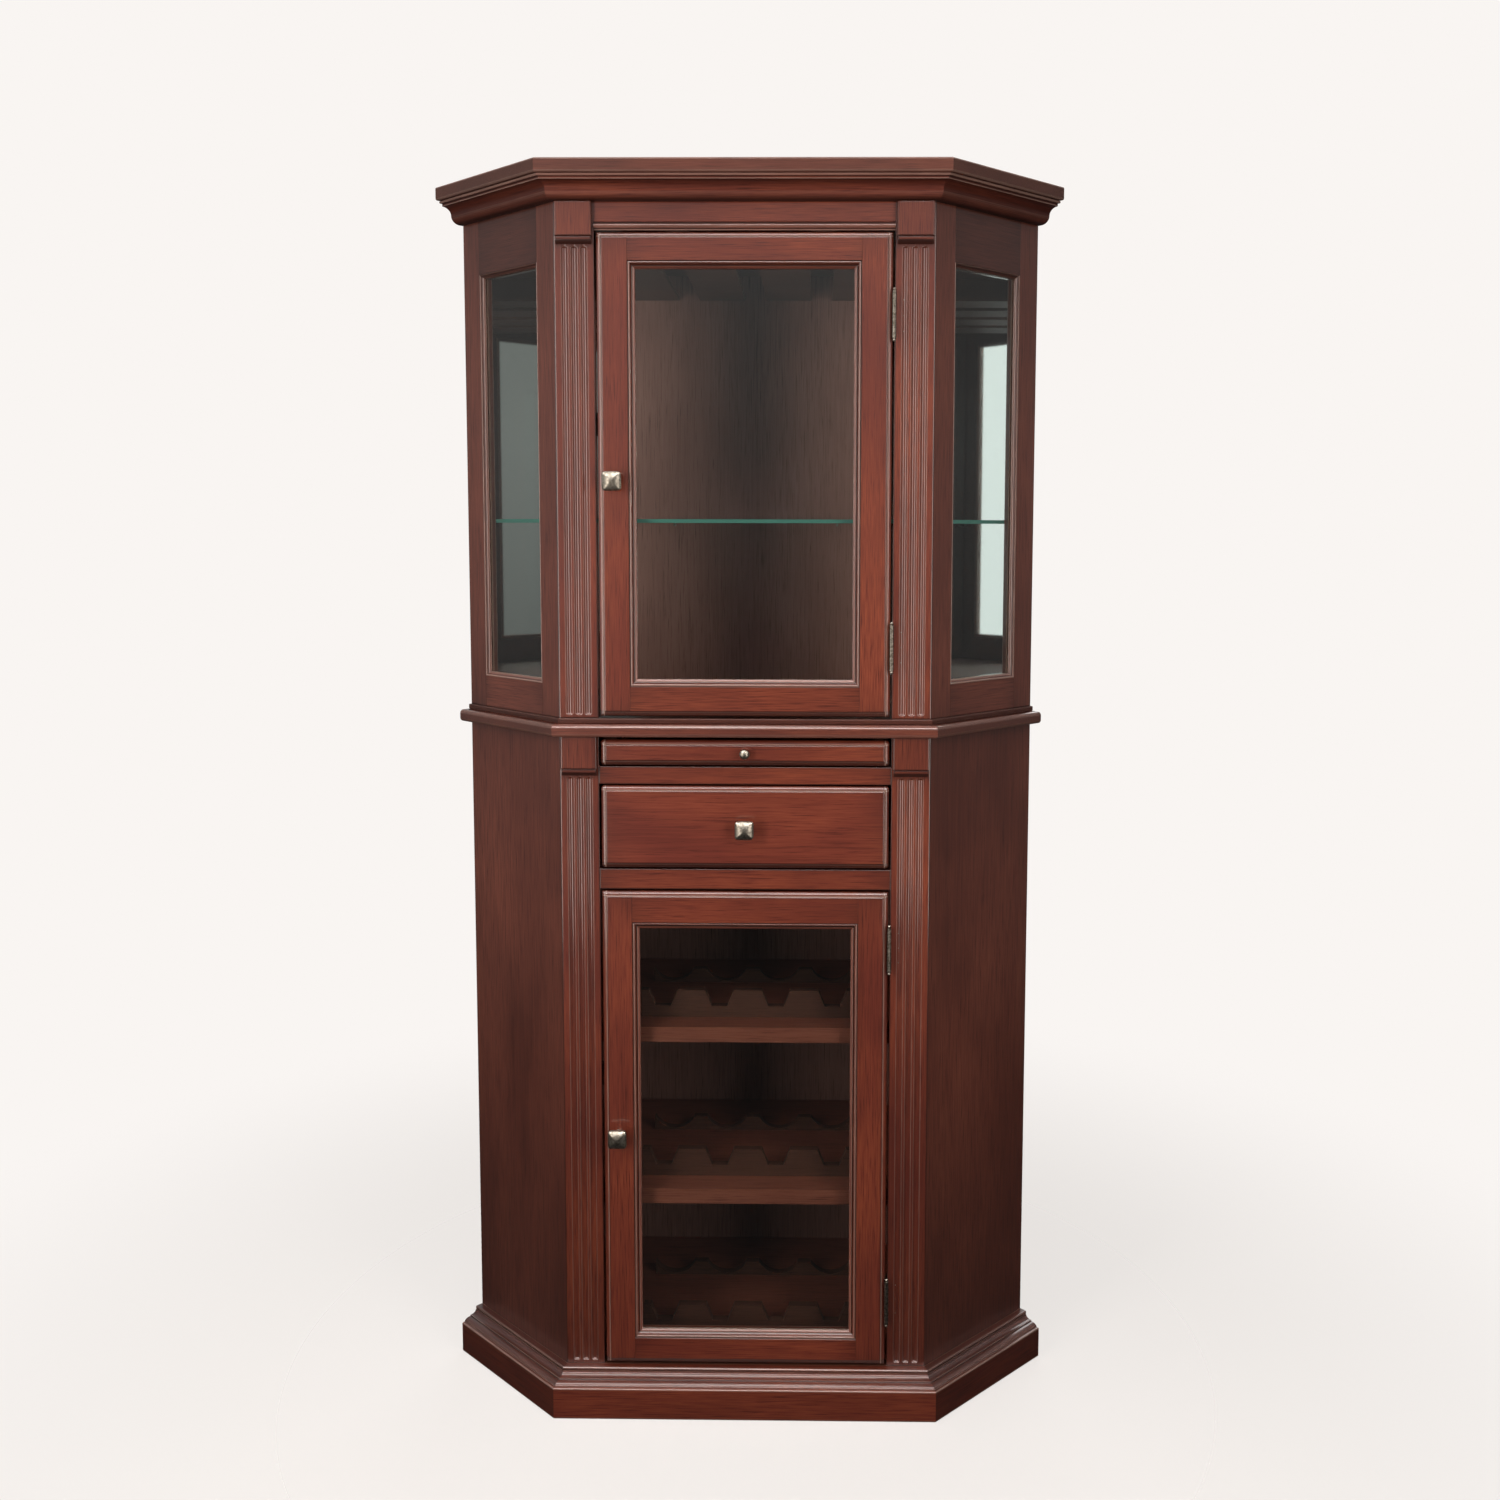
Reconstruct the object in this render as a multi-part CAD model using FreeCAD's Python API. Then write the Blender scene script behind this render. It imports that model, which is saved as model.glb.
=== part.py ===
import FreeCAD, Part

import math
import os

Vector = FreeCAD.Vector

# Driving sizes of the cabinet, in millimetres and degrees
total_height = 2000.0
front_width = 588.2
side_length = 259.4
cant_angle = 45.0
body_depth = 426.0
side_thickness = 18.0
frame_thickness = 20.0
oblique_back_thickness = 12.0
centre_back_thickness = 9.0
panel_gap = 1.0
overrun = 5.0
quarter_turn = 90.0

# Base: plinth boards, moulding on them and the board that carries the body
plinth_height = 52.0
plinth_reach = 40.7
plinth_thickness = 25.0
plinth_edge_radius = 2.0
cleat_height = 25.0
cleat_seat_width = 12.0
base_board_thickness = 20.0
base_moulding_reach = 36.0
base_bead_reach = 13.0
base_bead_radius = 2.6
base_cove_end = 22.5
base_cove_depth = 7.0
base_fillet = 1.8
floor_panel_thickness = 9.0

# Lower front, from the base board up
door_gap = 3.5
reveal = 2.5
lower_door_height = 791.0
door_rail_height = 32.5
drawer_front_height = 132.5
tray_rail_height = 28.0
tray_front_height = 40.5
tray_head_gap = 6.5
stile_width = 61.6

# Waist board and the floor of the upper part
waist_thickness = 20.0
waist_reach = 22.5
upper_floor_thickness = 8.0
upper_floor_reach = 5.0

# Top: frieze rail, crown moulding and top board
frieze_height = 42.0
frieze_bead_reach = 3.0
frieze_bead_height = 9.0
frieze_quirk_height = 2.4
frieze_quirk_depth = 2.5
crown_height = 34.0
crown_bead_reach = 7.5
crown_bead_height = 6.0
crown_ogee_start = 9.5
crown_ogee_reach = 39.5
crown_ogee_height = 21.0
crown_cap_reach = 44.0
crown_cap_height = 4.0
top_board_thickness = 21.0
top_board_reach = 50.7
top_edge_radius = 3.0
ceiling_thickness = 12.0

# Flutes, capitals and necks of the pilasters
flute_count = 3
flute_pitch = 13.5
flute_width = 9.4
flute_depth = 3.4
flute_end_gap = 5.0
upper_flute_top_gap = 3.0
capital_width = 57.5
capital_height = 53.0
capital_reach = 10.5
capital_edge = 2.5
neck_height = 11.0
neck_reach = 7.0
neck_step = 2.5

# Glazed sides of the upper part
side_stile_width = 47.0
side_top_rail_height = 119.0
side_bottom_rail_height = 52.0
side_sight_width = 7.0
side_sight_depth = 8.0
side_glass_thickness = 3.0
mirror_thickness = 4.0
mirror_margin = 5.0

# Doors
door_proud = 6.0
door_thickness = 22.0
door_edge_radius = 3.0
door_stile_width = 48.0
upper_door_top_rail = 43.5
upper_door_bottom_rail = 47.0
lower_door_top_rail = 50.0
lower_door_bottom_rail = 44.0
sight_width = 10.0
sight_depth = 10.0
sight_sink = 1.2
sight_bead = 3.0
door_glass_thickness = 4.0
glass_play = 0.3

# Hinges
hinge_height = 72.0
hinge_low_inset = 110.0
upper_hinge_top_inset = 126.0
lower_hinge_top_inset = 92.0
hinge_leaf_thickness = 1.2
hinge_leaf_width = 20.0
hinge_barrel_radius = 3.3
hinge_pin_radius = 1.6
hinge_pin_play = 0.1
hinge_finial_radius = 2.6
hinge_screw_radius = 1.3
hinge_screw_head_radius = 2.3
hinge_screw_length = 14.0
hinge_screw_pitch = 24.0
hinge_screws_per_leaf = 3
hinge_knuckles = 5
knuckle_gap = 0.3
running_gap = 0.3

# Knobs, and the screws that hold them
knob_size = 30.0
knob_reach = 30.0
knob_neck_length = 14.0
knob_neck_radius = 4.5
knob_foot_radius = 8.0
knob_foot_thickness = 2.5
knob_back_size = 20.0
knob_rim_thickness = 3.5
knob_tip_size = 7.0
door_knob_inset = 24.3
upper_knob_drop = 6.25
lower_knob_drop = 5.0
tray_knob_radius = 8.0
tray_knob_reach = 17.0
tray_knob_neck_radius = 3.5
tray_knob_foot_radius = 5.5
tray_knob_neck_length = 7.0
knob_screw_radius = 2.0
knob_screw_play = 0.3
knob_screw_bite = 9.0
tray_screw_bite = 5.0
screw_head_radius = 4.5
screw_head_height = 2.4

# Drawer
drawer_front_thickness = 22.0
drawer_side_thickness = 12.0
drawer_side_height = 100.0
drawer_side_play = 2.0
drawer_depth = 340.0
drawer_bottom_thickness = 6.0
drawer_bottom_lift = 8.0
drawer_groove = 6.0
front_bead_radius = 2.6
front_field_inset = 6.8
front_corner_radius = 4.5

# Serving tray
tray_front_thickness = 16.0
tray_panel_thickness = 10.0
tray_rim_height = 18.0
tray_rim_thickness = 10.0
tray_depth = 330.0

# Decks, runners and kickers that carry the drawer and the tray
drawer_deck_drop = 10.0
deck_thickness = 8.0
tray_deck_drop = 13.5
runner_width = 27.0
guide_thickness = 10.0
guide_height = 20.0
stop_length = 12.0
kicker_width = 20.0
kicker_length = 300.0
kicker_gap = 0.8

# Wine racks
rack_pitch = 275.0
rack_shelf_thickness = 25.0
rack_shelf_setback = 34.0
rack_count = 3
bottle_pitch = 94.5
bottles_across = 4
neck_board_setback = 50.0
neck_board_thickness = 16.0
neck_board_height = 46.0
neck_board_margin = 36.0
notch_top_width = 48.0
notch_bottom_width = 26.0
notch_depth = 27.0
cradle_spacing = 190.0
cradle_thickness = 16.0
cradle_height = 24.0
cradle_radius = 41.0
cradle_lift = 3.0
shelf_cleat_width = 15.0
shelf_cleat_height = 20.0
shelf_cleat_start = 42.0
shelf_cleat_end_gap = 40.0
back_cleat_end_gap = 27.0

# Glass shelf and its pins
shelf_height = 1460.0
shelf_thickness = 6.0
shelf_setback = 32.0
shelf_edge_gap = 2.0
pin_radius = 2.5
pin_length = 10.0
pin_sink = 6.0
pin_side_inset = 24.0
pin_back_inset = 77.0

# Stemware rails
stem_rail_pitch = 120.0
stem_rail_count = 4
stem_rail_flange = 82.0
stem_rail_flange_thickness = 8.0
stem_rail_web = 20.0
stem_rail_drop = 45.0
stem_rail_end_gap = 5.0

# Magnetic catches
catch_height = 36.0
catch_body_width = 34.0
catch_body_depth = 10.0
catch_magnet_width = 14.0
catch_above_knob = 90.0
catch_gap = 0.3
strike_thickness = 1.2

# Heights that follow from the sizes above
base_top = plinth_height + base_board_thickness
lower_door_bottom = base_top + door_gap
lower_door_top = lower_door_bottom + lower_door_height
door_rail_bottom = lower_door_top + door_gap
door_rail_top = door_rail_bottom + door_rail_height
drawer_bottom = door_rail_top + reveal
drawer_top = drawer_bottom + drawer_front_height
tray_rail_bottom = drawer_top + reveal
tray_rail_top = tray_rail_bottom + tray_rail_height
tray_bottom = tray_rail_top + reveal
tray_top = tray_bottom + tray_front_height
waist_bottom = tray_top + tray_head_gap
waist_top = waist_bottom + waist_thickness
upper_floor_top = waist_top + upper_floor_thickness
crown_top = total_height - top_board_thickness
crown_bottom = crown_top - crown_height
frieze_bottom = crown_bottom - frieze_height
upper_door_bottom = upper_floor_top + door_gap
upper_door_top = frieze_bottom - door_gap
floor_panel_top = base_top + floor_panel_thickness
drawer_deck_top = door_rail_top - drawer_deck_drop
tray_deck_top = tray_rail_top - tray_deck_drop

# Widths and directions that follow
front_half = front_width / 2
opening_half = front_half - stile_width
door_half = opening_half - door_gap
cant = math.radians(cant_angle)
mitre_slope = math.tan(cant / 2)
along_x = math.cos(cant)
along_y = math.sin(cant)
overall_depth = body_depth + top_board_reach
to_origin = Vector(0, overall_depth / 2 - body_depth, 0)


def save(node, *solids):
    """Write one node's solids, moved so that the origin is under the middle of the cabinet."""
    shape = solids[0] if len(solids) == 1 else Part.makeCompound(list(solids))
    shape = shape.copy()
    shape.translate(to_origin)
    shape.exportStep("parts/" + node + ".step")


def block(x0, x1, y0, y1, z0, z1):
    """Box between two corners."""
    return Part.makeBox(x1 - x0, y1 - y0, z1 - z0, Vector(x0, y0, z0))


def prism(outline, z0, z1):
    """Solid under a closed plan outline of (x, y) points."""
    wire = Part.makePolygon([Vector(x, y, z0) for x, y in outline + outline[:1]])
    return Part.Face(wire).extrude(Vector(0, 0, z1 - z0))


def plate(outline, y0, y1):
    """Solid from a closed elevation of (x, z) points, between two depths."""
    wire = Part.makePolygon([Vector(x, y0, z) for x, z in outline + outline[:1]])
    return Part.Face(wire).extrude(Vector(0, y1 - y0, 0))


def rod(radius, start, end):
    """Round bar from start to end."""
    return Part.makeCylinder(radius, (end - start).Length, start, end - start)


def section(steps):
    """Closed moulding section of (out, z) corners; four numbers are an arc through one point to the next."""
    first = Vector(0, -steps[0][0], steps[0][1])
    here = first
    edges = []
    for step in steps[1:]:
        end = Vector(0, -step[-2], step[-1])
        if len(step) > 2:
            edges.append(Part.Arc(here, Vector(0, -step[0], step[1]), end).toShape())
        else:
            edges.append(Part.makeLine(here, end))
        here = end
    edges.append(Part.makeLine(here, first))
    return Part.Face(Part.Wire(edges))


def mitred_run(steps, start, end, start_slope, end_slope):
    """Moulding of a section along a front face, its ends cut square (slope 0) or to a mitre's slope."""
    outs = [value for step in steps for value in step[0::2]]
    heights = [value for step in steps for value in step[1::2]]
    inner = min(outs) - overrun
    outer = max(outs) + overrun
    far = abs(start_slope) * outer + abs(end_slope) * outer
    face = section(steps)
    face.translate(Vector(start - far, 0, 0))
    bar = face.extrude(Vector(end - start + 2 * far, 0, 0))
    outline = [(start - inner * start_slope, -inner), (end + inner * end_slope, -inner),
               (end + outer * end_slope, -outer), (start - outer * start_slope, -outer)]
    return bar.common(prism(outline, min(heights) - overrun, max(heights) + overrun))


def on_side(shape, hand):
    """Carry a piece from the front face's frame to a canted side: hand 1 is the right side, -1 the left."""
    moved = shape.copy()
    moved.rotate(Vector(0, 0, 0), Vector(0, 0, 1), cant_angle)
    moved.translate(Vector(front_half, 0, 0))
    return moved if hand > 0 else mirrored(moved)


def mirrored(shape):
    """The same piece on the other side of the cabinet's middle plane."""
    return shape.mirror(Vector(0, 0, 0), Vector(1, 0, 0))


def around(steps):
    """One moulding carried round the front and both canted sides, mitred at the front corners."""
    front = mitred_run(steps, -front_half, front_half, mitre_slope, mitre_slope)
    side = mitred_run(steps, 0, side_length, mitre_slope, 0)
    return [front, on_side(side, 1), on_side(side, -1)]


def crossing(one, two):
    """Point where two lines (a, b, d) of a x + b y = d meet."""
    (a1, b1, d1), (a2, b2, d2) = one, two
    span = a1 * b2 - b1 * a2
    return ((d1 * b2 - d2 * b1) / span, (a1 * d2 - a2 * d1) / span)


def wall_lines(front_out, side_out, oblique_out, rear_out):
    """Plan lines of the front, right side, right oblique back and rear, each moved outwards."""
    front = (0, -1, front_out)
    side = (along_y, -along_x, front_half * along_y + side_out)
    oblique = (along_x, along_y, front_half * along_x + side_length + oblique_out)
    rear = (0, 1, body_depth + rear_out)
    return front, side, oblique, rear


def plan(front_out, side_out, oblique_out, rear_out):
    """Six-sided plan outline of the cabinet with each wall line moved outwards by its own amount."""
    front, side, oblique, rear = wall_lines(front_out, side_out, oblique_out, rear_out)
    right = [crossing(front, side), crossing(side, oblique), crossing(oblique, rear)]
    left = [(-x, y) for x, y in reversed(right)]
    return right + left


def inner_plan(front_in, wall, gap):
    """Plan between the side walls and the backs, set back from the front face."""
    return plan(-front_in, -wall - gap, -oblique_back_thickness - gap, -centre_back_thickness - gap)


def back_corner():
    """Where the inner faces of the right oblique back and the centre back meet in plan."""
    inner = wall_lines(0, 0, -oblique_back_thickness, -centre_back_thickness)
    return crossing(inner[2], inner[3])


def rounded(solid, radius, picked):
    """Round the edges whose centre the test picks."""
    edges = [edge for edge in solid.Edges if picked(edge.CenterOfMass, edge.BoundBox)]
    return solid.makeFillet(radius, edges)


def framed(steps, x0, x1, z0, z1):
    """Four mitred mouldings in a rectangle of a front face; steps are (out, distance into the rectangle)."""
    runs = []
    wide = x1 - x0
    tall = z1 - z0
    corners = [(x0, z0, wide), (x1, z0, tall), (x1, z1, wide), (x0, z1, tall)]
    depths = [value for step in steps for value in step[1::2]]
    outs = [value for step in steps for value in step[0::2]]
    deep = max(depths)
    shallow = min(depths)
    for index, (x, z, length) in enumerate(corners):
        face = section(steps)
        face.translate(Vector(shallow, 0, 0))
        bar = face.extrude(Vector(length - 2 * shallow, 0, 0))
        ends = [(shallow, shallow), (length - shallow, shallow), (length - deep, deep), (deep, deep)]
        run = bar.common(plate(ends, -max(outs) - overrun, -min(outs) + overrun))
        run.rotate(Vector(0, 0, 0), Vector(0, 1, 0), -index * quarter_turn)
        run.translate(Vector(x, 0, z))
        runs.append(run)
    return runs


def plinth():
    """Boards that stand on the floor: three mitred at the front, three under the back panels.

    The rear boards run out to the front boards' inner faces.
    """
    low = plinth_reach - plinth_thickness
    edge = plinth_edge_radius
    steps = [(low, 0), (plinth_reach, 0), (plinth_reach, plinth_height - edge),
             (plinth_reach - edge * (1 - along_x), plinth_height - edge * (1 - along_y),
              plinth_reach - edge, plinth_height), (low, plinth_height)]
    mitred_boards = around(steps)
    inner = side_thickness
    outer_lines = wall_lines(0, low, 0, 0)
    inner_lines = wall_lines(0, 0, -inner, -inner)
    rear_corner = crossing(outer_lines[2], outer_lines[3])
    rear_inner = crossing(inner_lines[2], outer_lines[3])
    oblique = [crossing(outer_lines[1], outer_lines[2]), crossing(outer_lines[1], inner_lines[2]),
               rear_inner, rear_corner]
    centre = [rear_inner, (-rear_inner[0], rear_inner[1]),
              (-rear_inner[0], body_depth - inner), (rear_inner[0], body_depth - inner)]
    right_board = prism(oblique, 0, plinth_height)
    save("plinth_boards", *mitred_boards, right_board, mirrored(right_board), prism(centre, 0, plinth_height))


def base_cleats():
    """Battens inside the plinth that carry the base board."""
    out = plinth_reach - plinth_thickness
    low = plinth_height - cleat_height
    steps = [(out, low), (out, plinth_height), (-cleat_seat_width, plinth_height), (-cleat_seat_width, low)]
    front = mitred_run(steps, -front_half, front_half, mitre_slope, mitre_slope)
    side = mitred_run(steps, 0, side_length - side_thickness, mitre_slope, 0)
    save("base_cleats", front, on_side(side, 1), on_side(side, -1))


def base():
    """Board that the body stands on, and the stepped moulding round its front edges."""
    save("base_board", prism(plan(0, 0, -oblique_back_thickness, -centre_back_thickness),
                             plinth_height, base_top))
    bead = base_bead_radius
    bead_out = base_bead_reach - bead
    bead_base = base_top - 2 * bead
    cove_end = bead_base - base_cove_depth
    cove_mid = (base_bead_reach + (base_cove_end - base_bead_reach) * (1 - along_x),
                cove_end + base_cove_depth * (1 - along_y))
    ledge = cove_end - base_fillet
    last = base_moulding_reach - base_cove_end - base_fillet
    ovolo_mid = (base_cove_end + base_fillet + last * along_x,
                 plinth_height + (ledge - plinth_height) * along_y)
    steps = [(0, plinth_height), (0, base_top), (bead_out, base_top),
             (base_bead_reach, base_top - bead, bead_out, bead_base),
             (base_bead_reach, bead_base), cove_mid + (base_cove_end, cove_end),
             (base_cove_end + base_fillet, cove_end), (base_cove_end + base_fillet, ledge),
             ovolo_mid + (base_moulding_reach, plinth_height)]
    save("base_moulding", *around(steps))
    save("floor_panel", prism(inner_plan(frame_thickness, side_thickness, 0), base_top, floor_panel_top))


def flute(x, z0, z1):
    """Cutter for a round-ended flute in a front face."""
    radius = (flute_width * flute_width / 4 + flute_depth * flute_depth) / (2 * flute_depth)
    out = radius - flute_depth
    half = flute_width / 2
    low = Vector(x, -out, z0 + half)
    high = Vector(x, -out, z1 - half)
    return rod(radius, low, high).fuse([Part.makeSphere(radius, low), Part.makeSphere(radius, high)])


def fluted_stile(z0, z1, flute_low, flute_high):
    """Right-hand stile of the front frame, mitred to the canted side, with its flutes."""
    inner_x = front_half - frame_thickness * mitre_slope
    outline = [(opening_half, 0), (front_half, 0), (inner_x, frame_thickness),
               (opening_half, frame_thickness)]
    stile = prism(outline, z0, z1)
    middle = opening_half + stile_width / 2
    for index in range(flute_count):
        x = middle + (index - (flute_count - 1) / 2) * flute_pitch
        stile = stile.cut(flute(x, flute_low, flute_high))
    return stile


def stiles():
    """Four fluted stiles, two below and two above the waist."""
    lower_neck = waist_bottom - capital_height - neck_height
    lower = fluted_stile(base_top, waist_bottom, base_top + flute_end_gap, lower_neck - upper_flute_top_gap)
    save("lower_stile_right", lower.cut([screw for z in lower_hinges for screw in hinge_screws(z, False)]))
    save("lower_stile_left", mirrored(lower))
    upper_neck = crown_bottom - capital_height - neck_height
    upper = fluted_stile(upper_floor_top, crown_top, upper_floor_top + flute_end_gap,
                         upper_neck - upper_flute_top_gap)
    save("upper_stile_right", upper.cut([screw for z in upper_hinges for screw in hinge_screws(z, False)]))
    save("upper_stile_left", mirrored(upper))


def capital(top):
    """Block and neck moulding at the head of a pilaster."""
    bottom = top - capital_height
    neck = bottom - neck_height
    bead = neck_height - 2 * neck_step
    edge = capital_edge
    soft = edge * (1 - along_x)
    steps = [(0, neck), (neck_reach - bead / 2, neck), (neck_reach - bead / 2, neck + neck_step),
             (neck_reach, neck + neck_height / 2, neck_reach - bead / 2, bottom - neck_step),
             (neck_reach - bead / 2, bottom), (capital_reach - edge, bottom),
             (capital_reach - soft, bottom + soft, capital_reach, bottom + edge), (capital_reach, top - edge),
             (capital_reach - soft, top - soft, capital_reach - edge, top), (0, top)]
    middle = opening_half + stile_width / 2
    piece = section(steps).extrude(Vector(capital_width, 0, 0))
    piece.translate(Vector(middle - capital_width / 2, 0, 0))
    return piece


def capitals():
    """Four capitals: under the crown and under the waist board."""
    upper = capital(crown_bottom)
    lower = capital(waist_bottom)
    save("capitals", upper, mirrored(upper), lower, mirrored(lower))


def rails():
    """Rails of the front frame between the stiles."""
    save("lower_rails",
         block(-opening_half, opening_half, 0, frame_thickness, door_rail_bottom, door_rail_top),
         block(-opening_half, opening_half, 0, frame_thickness, tray_rail_bottom, tray_rail_top))
    bead_top = frieze_bottom + frieze_bead_height
    quirk_top = bead_top + frieze_quirk_height
    steps = [(-frame_thickness, frieze_bottom), (0, frieze_bottom),
             (frieze_bead_reach, frieze_bottom + frieze_bead_height / 2, 0, bead_top),
             (-frieze_quirk_depth, bead_top), (-frieze_quirk_depth, quirk_top), (0, quirk_top),
             (0, crown_top), (-frame_thickness, crown_top)]
    save("frieze_rail", mitred_run(steps, -opening_half, opening_half, 0, 0))


def lower_sides():
    """Plain canted panels of the lower part."""
    depth = side_thickness
    outline = [(0, 0), (side_length, 0), (side_length, depth), (depth * mitre_slope, depth)]
    panel = prism(outline, base_top, waist_bottom)
    save("lower_side_right", on_side(panel, 1))
    save("lower_side_left", on_side(panel, -1))


def backs():
    """Full-height back: an oblique panel behind each side and a flat one across the corner."""
    outer = wall_lines(0, 0, 0, 0)
    inner = wall_lines(0, 0, -oblique_back_thickness, -centre_back_thickness)
    oblique = [crossing(outer[1], outer[2]), crossing(outer[1], inner[2]),
               crossing(inner[2], inner[3]), crossing(outer[2], inner[3])]
    notch_start = side_length - oblique_back_thickness - overrun
    notch_end = side_length + overrun
    side_notch = [(notch_start, -overrun), (notch_end, -overrun), (notch_end, frame_thickness),
                  (notch_start, frame_thickness)]
    upper_notch = on_side(prism(side_notch, upper_floor_top, crown_top), 1)
    lower_notch_line = [(x, min(y, side_thickness)) for x, y in side_notch]
    lower_notch = on_side(prism(lower_notch_line, base_top, waist_bottom), 1)
    panel = prism(oblique, plinth_height, crown_top).cut(upper_notch).cut(lower_notch)
    save("back_right", panel)
    save("back_left", mirrored(panel))
    half = crossing(outer[2], inner[3])[0]
    end = crossing(outer[2], outer[3])[0]
    centre = [(half, body_depth - centre_back_thickness), (end, body_depth), (-end, body_depth),
              (-half, body_depth - centre_back_thickness)]
    back = prism(centre, plinth_height, crown_top)
    for hand in (-1, 1):
        back = back.cut(back_pin(hand))
    save("back_centre", back)


def waist():
    """Waist board with a full round nose, and the board over it that the upper part stands on."""
    nose = waist_thickness / 2
    steps = [(0, waist_bottom), (waist_reach - nose, waist_bottom),
             (waist_reach, waist_bottom + nose, waist_reach - nose, waist_top), (0, waist_top)]
    outline = plan(0, 0, -oblique_back_thickness, -centre_back_thickness)
    slab = prism(outline, waist_bottom, waist_top)
    save("waist_board", slab.fuse(around(steps)).removeSplitter())
    soft = upper_floor_thickness / 2
    steps = [(0, waist_top), (upper_floor_reach, waist_top), (upper_floor_reach, waist_top + soft),
             (upper_floor_reach - soft * (1 - along_x), upper_floor_top - soft * (1 - along_y),
              upper_floor_reach - soft, upper_floor_top), (0, upper_floor_top)]
    slab = prism(outline, waist_top, upper_floor_top)
    save("upper_floor", slab.fuse(around(steps)).removeSplitter())


def side_frames():
    """Glazed canted sides: two stiles and two rails, a mitred sight moulding, the pane and its stops."""
    depth = frame_thickness
    low = upper_floor_top + side_bottom_rail_height
    high = crown_top - side_top_rail_height
    near = side_stile_width
    far = side_length - side_stile_width
    front_stile = prism([(0, 0), (near, 0), (near, depth), (depth * mitre_slope, depth)],
                        upper_floor_top, crown_top)
    rear_stile = block(far, side_length, 0, depth, upper_floor_top, crown_top)
    rails_pair = [block(near, far, 0, depth, upper_floor_top, low),
                  block(near, far, 0, depth, high, crown_top)]
    front_stile = front_stile.cut(side_pin(pin_side_inset))
    rear_stile = rear_stile.cut(side_pin(side_length - pin_side_inset))
    glass_front = side_sight_depth
    glass_back = glass_front + side_glass_thickness
    soft = side_sight_width
    moulding = [(-panel_gap, 0), (-panel_gap, soft * (1 - along_x)),
                (-glass_front + (glass_front - panel_gap) * (1 - along_y), soft * along_y,
                 -glass_front, soft), (-glass_front, 0)]
    stop = [(-glass_back, 0), (-glass_back, soft), (-depth, soft), (-depth, 0)]
    sights = framed(moulding, near, far, low, high)
    stops = framed(stop, near, far, low, high)
    pane = block(near + glass_play, far - glass_play, glass_front, glass_back,
                 low + glass_play, high - glass_play)
    for name, hand in (("right", 1), ("left", -1)):
        save("side_frame_" + name, *[on_side(s, hand) for s in [front_stile, rear_stile] + rails_pair])
    save("side_glass", on_side(pane, 1), on_side(pane, -1))
    save("side_glass_mouldings", *[on_side(s, hand) for s in sights + stops for hand in (1, -1)])


def mirrors():
    """Silvered glass on the inside of the oblique back panels."""
    side = wall_lines(0, -frame_thickness - mirror_margin, 0, 0)[1]
    behind = wall_lines(0, 0, -oblique_back_thickness, 0)[2]
    face = wall_lines(0, 0, -oblique_back_thickness - mirror_thickness, 0)[2]
    rear = wall_lines(0, 0, 0, -centre_back_thickness - panel_gap)[3]
    outline = [crossing(side, behind), crossing(side, face), crossing(face, rear), crossing(behind, rear)]
    pane = prism(outline, upper_floor_top + panel_gap, frieze_bottom - panel_gap)
    save("mirrors", pane, mirrored(pane))


def top():
    """Ceiling, crown moulding and top board."""
    save("ceiling_panel", prism(inner_plan(frame_thickness, frame_thickness, 0),
                                frieze_bottom, frieze_bottom + ceiling_thickness))
    bead_mid = crown_bottom + crown_bead_height / 2
    bead_top = crown_bottom + crown_bead_height
    bead_out = crown_bead_reach - crown_bead_height / 2
    ogee_top = bead_top + crown_ogee_height
    half_out = (crown_ogee_start + crown_ogee_reach) / 2
    half_up = (bead_top + ogee_top) / 2
    swell = (crown_ogee_reach - crown_ogee_start) / 2
    rise = crown_ogee_height / 2
    cap_bottom = crown_top - crown_cap_height
    steps = [(0, crown_bottom), (bead_out, crown_bottom), (crown_bead_reach, bead_mid, bead_out, bead_top),
             (crown_ogee_start, bead_top),
             (crown_ogee_start + swell * along_x, half_up - rise * along_y, half_out, half_up),
             (crown_ogee_reach - swell * along_x, half_up + rise * along_y, crown_ogee_reach, ogee_top),
             (crown_ogee_reach, cap_bottom), (crown_cap_reach - crown_cap_height / 2, cap_bottom),
             (crown_cap_reach, cap_bottom + crown_cap_height / 2,
              crown_cap_reach - crown_cap_height / 2, crown_top), (0, crown_top)]
    save("crown_moulding", *around(steps))
    edge = top_edge_radius
    low = crown_top + edge
    high = total_height - edge
    soft = edge * (1 - along_x)
    steps = [(0, crown_top), (top_board_reach - edge, crown_top),
             (top_board_reach - soft, crown_top + soft, top_board_reach, low), (top_board_reach, high),
             (top_board_reach - soft, total_height - soft, top_board_reach - edge, total_height),
             (0, total_height)]
    slab = prism(plan(0, 0, 0, 0), crown_top, total_height)
    save("top_board", slab.fuse(around(steps)).removeSplitter())


def hinge_levels(door_low, door_high, top_inset):
    """Middle heights of a door's two hinges."""
    return (door_low + hinge_low_inset, door_high - top_inset)


upper_hinges = hinge_levels(upper_door_bottom, upper_door_top, upper_hinge_top_inset)
lower_hinges = hinge_levels(lower_door_bottom, lower_door_top, lower_hinge_top_inset)
hinge_x = opening_half - door_gap / 2
hinge_y = -door_proud - running_gap - hinge_barrel_radius


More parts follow.
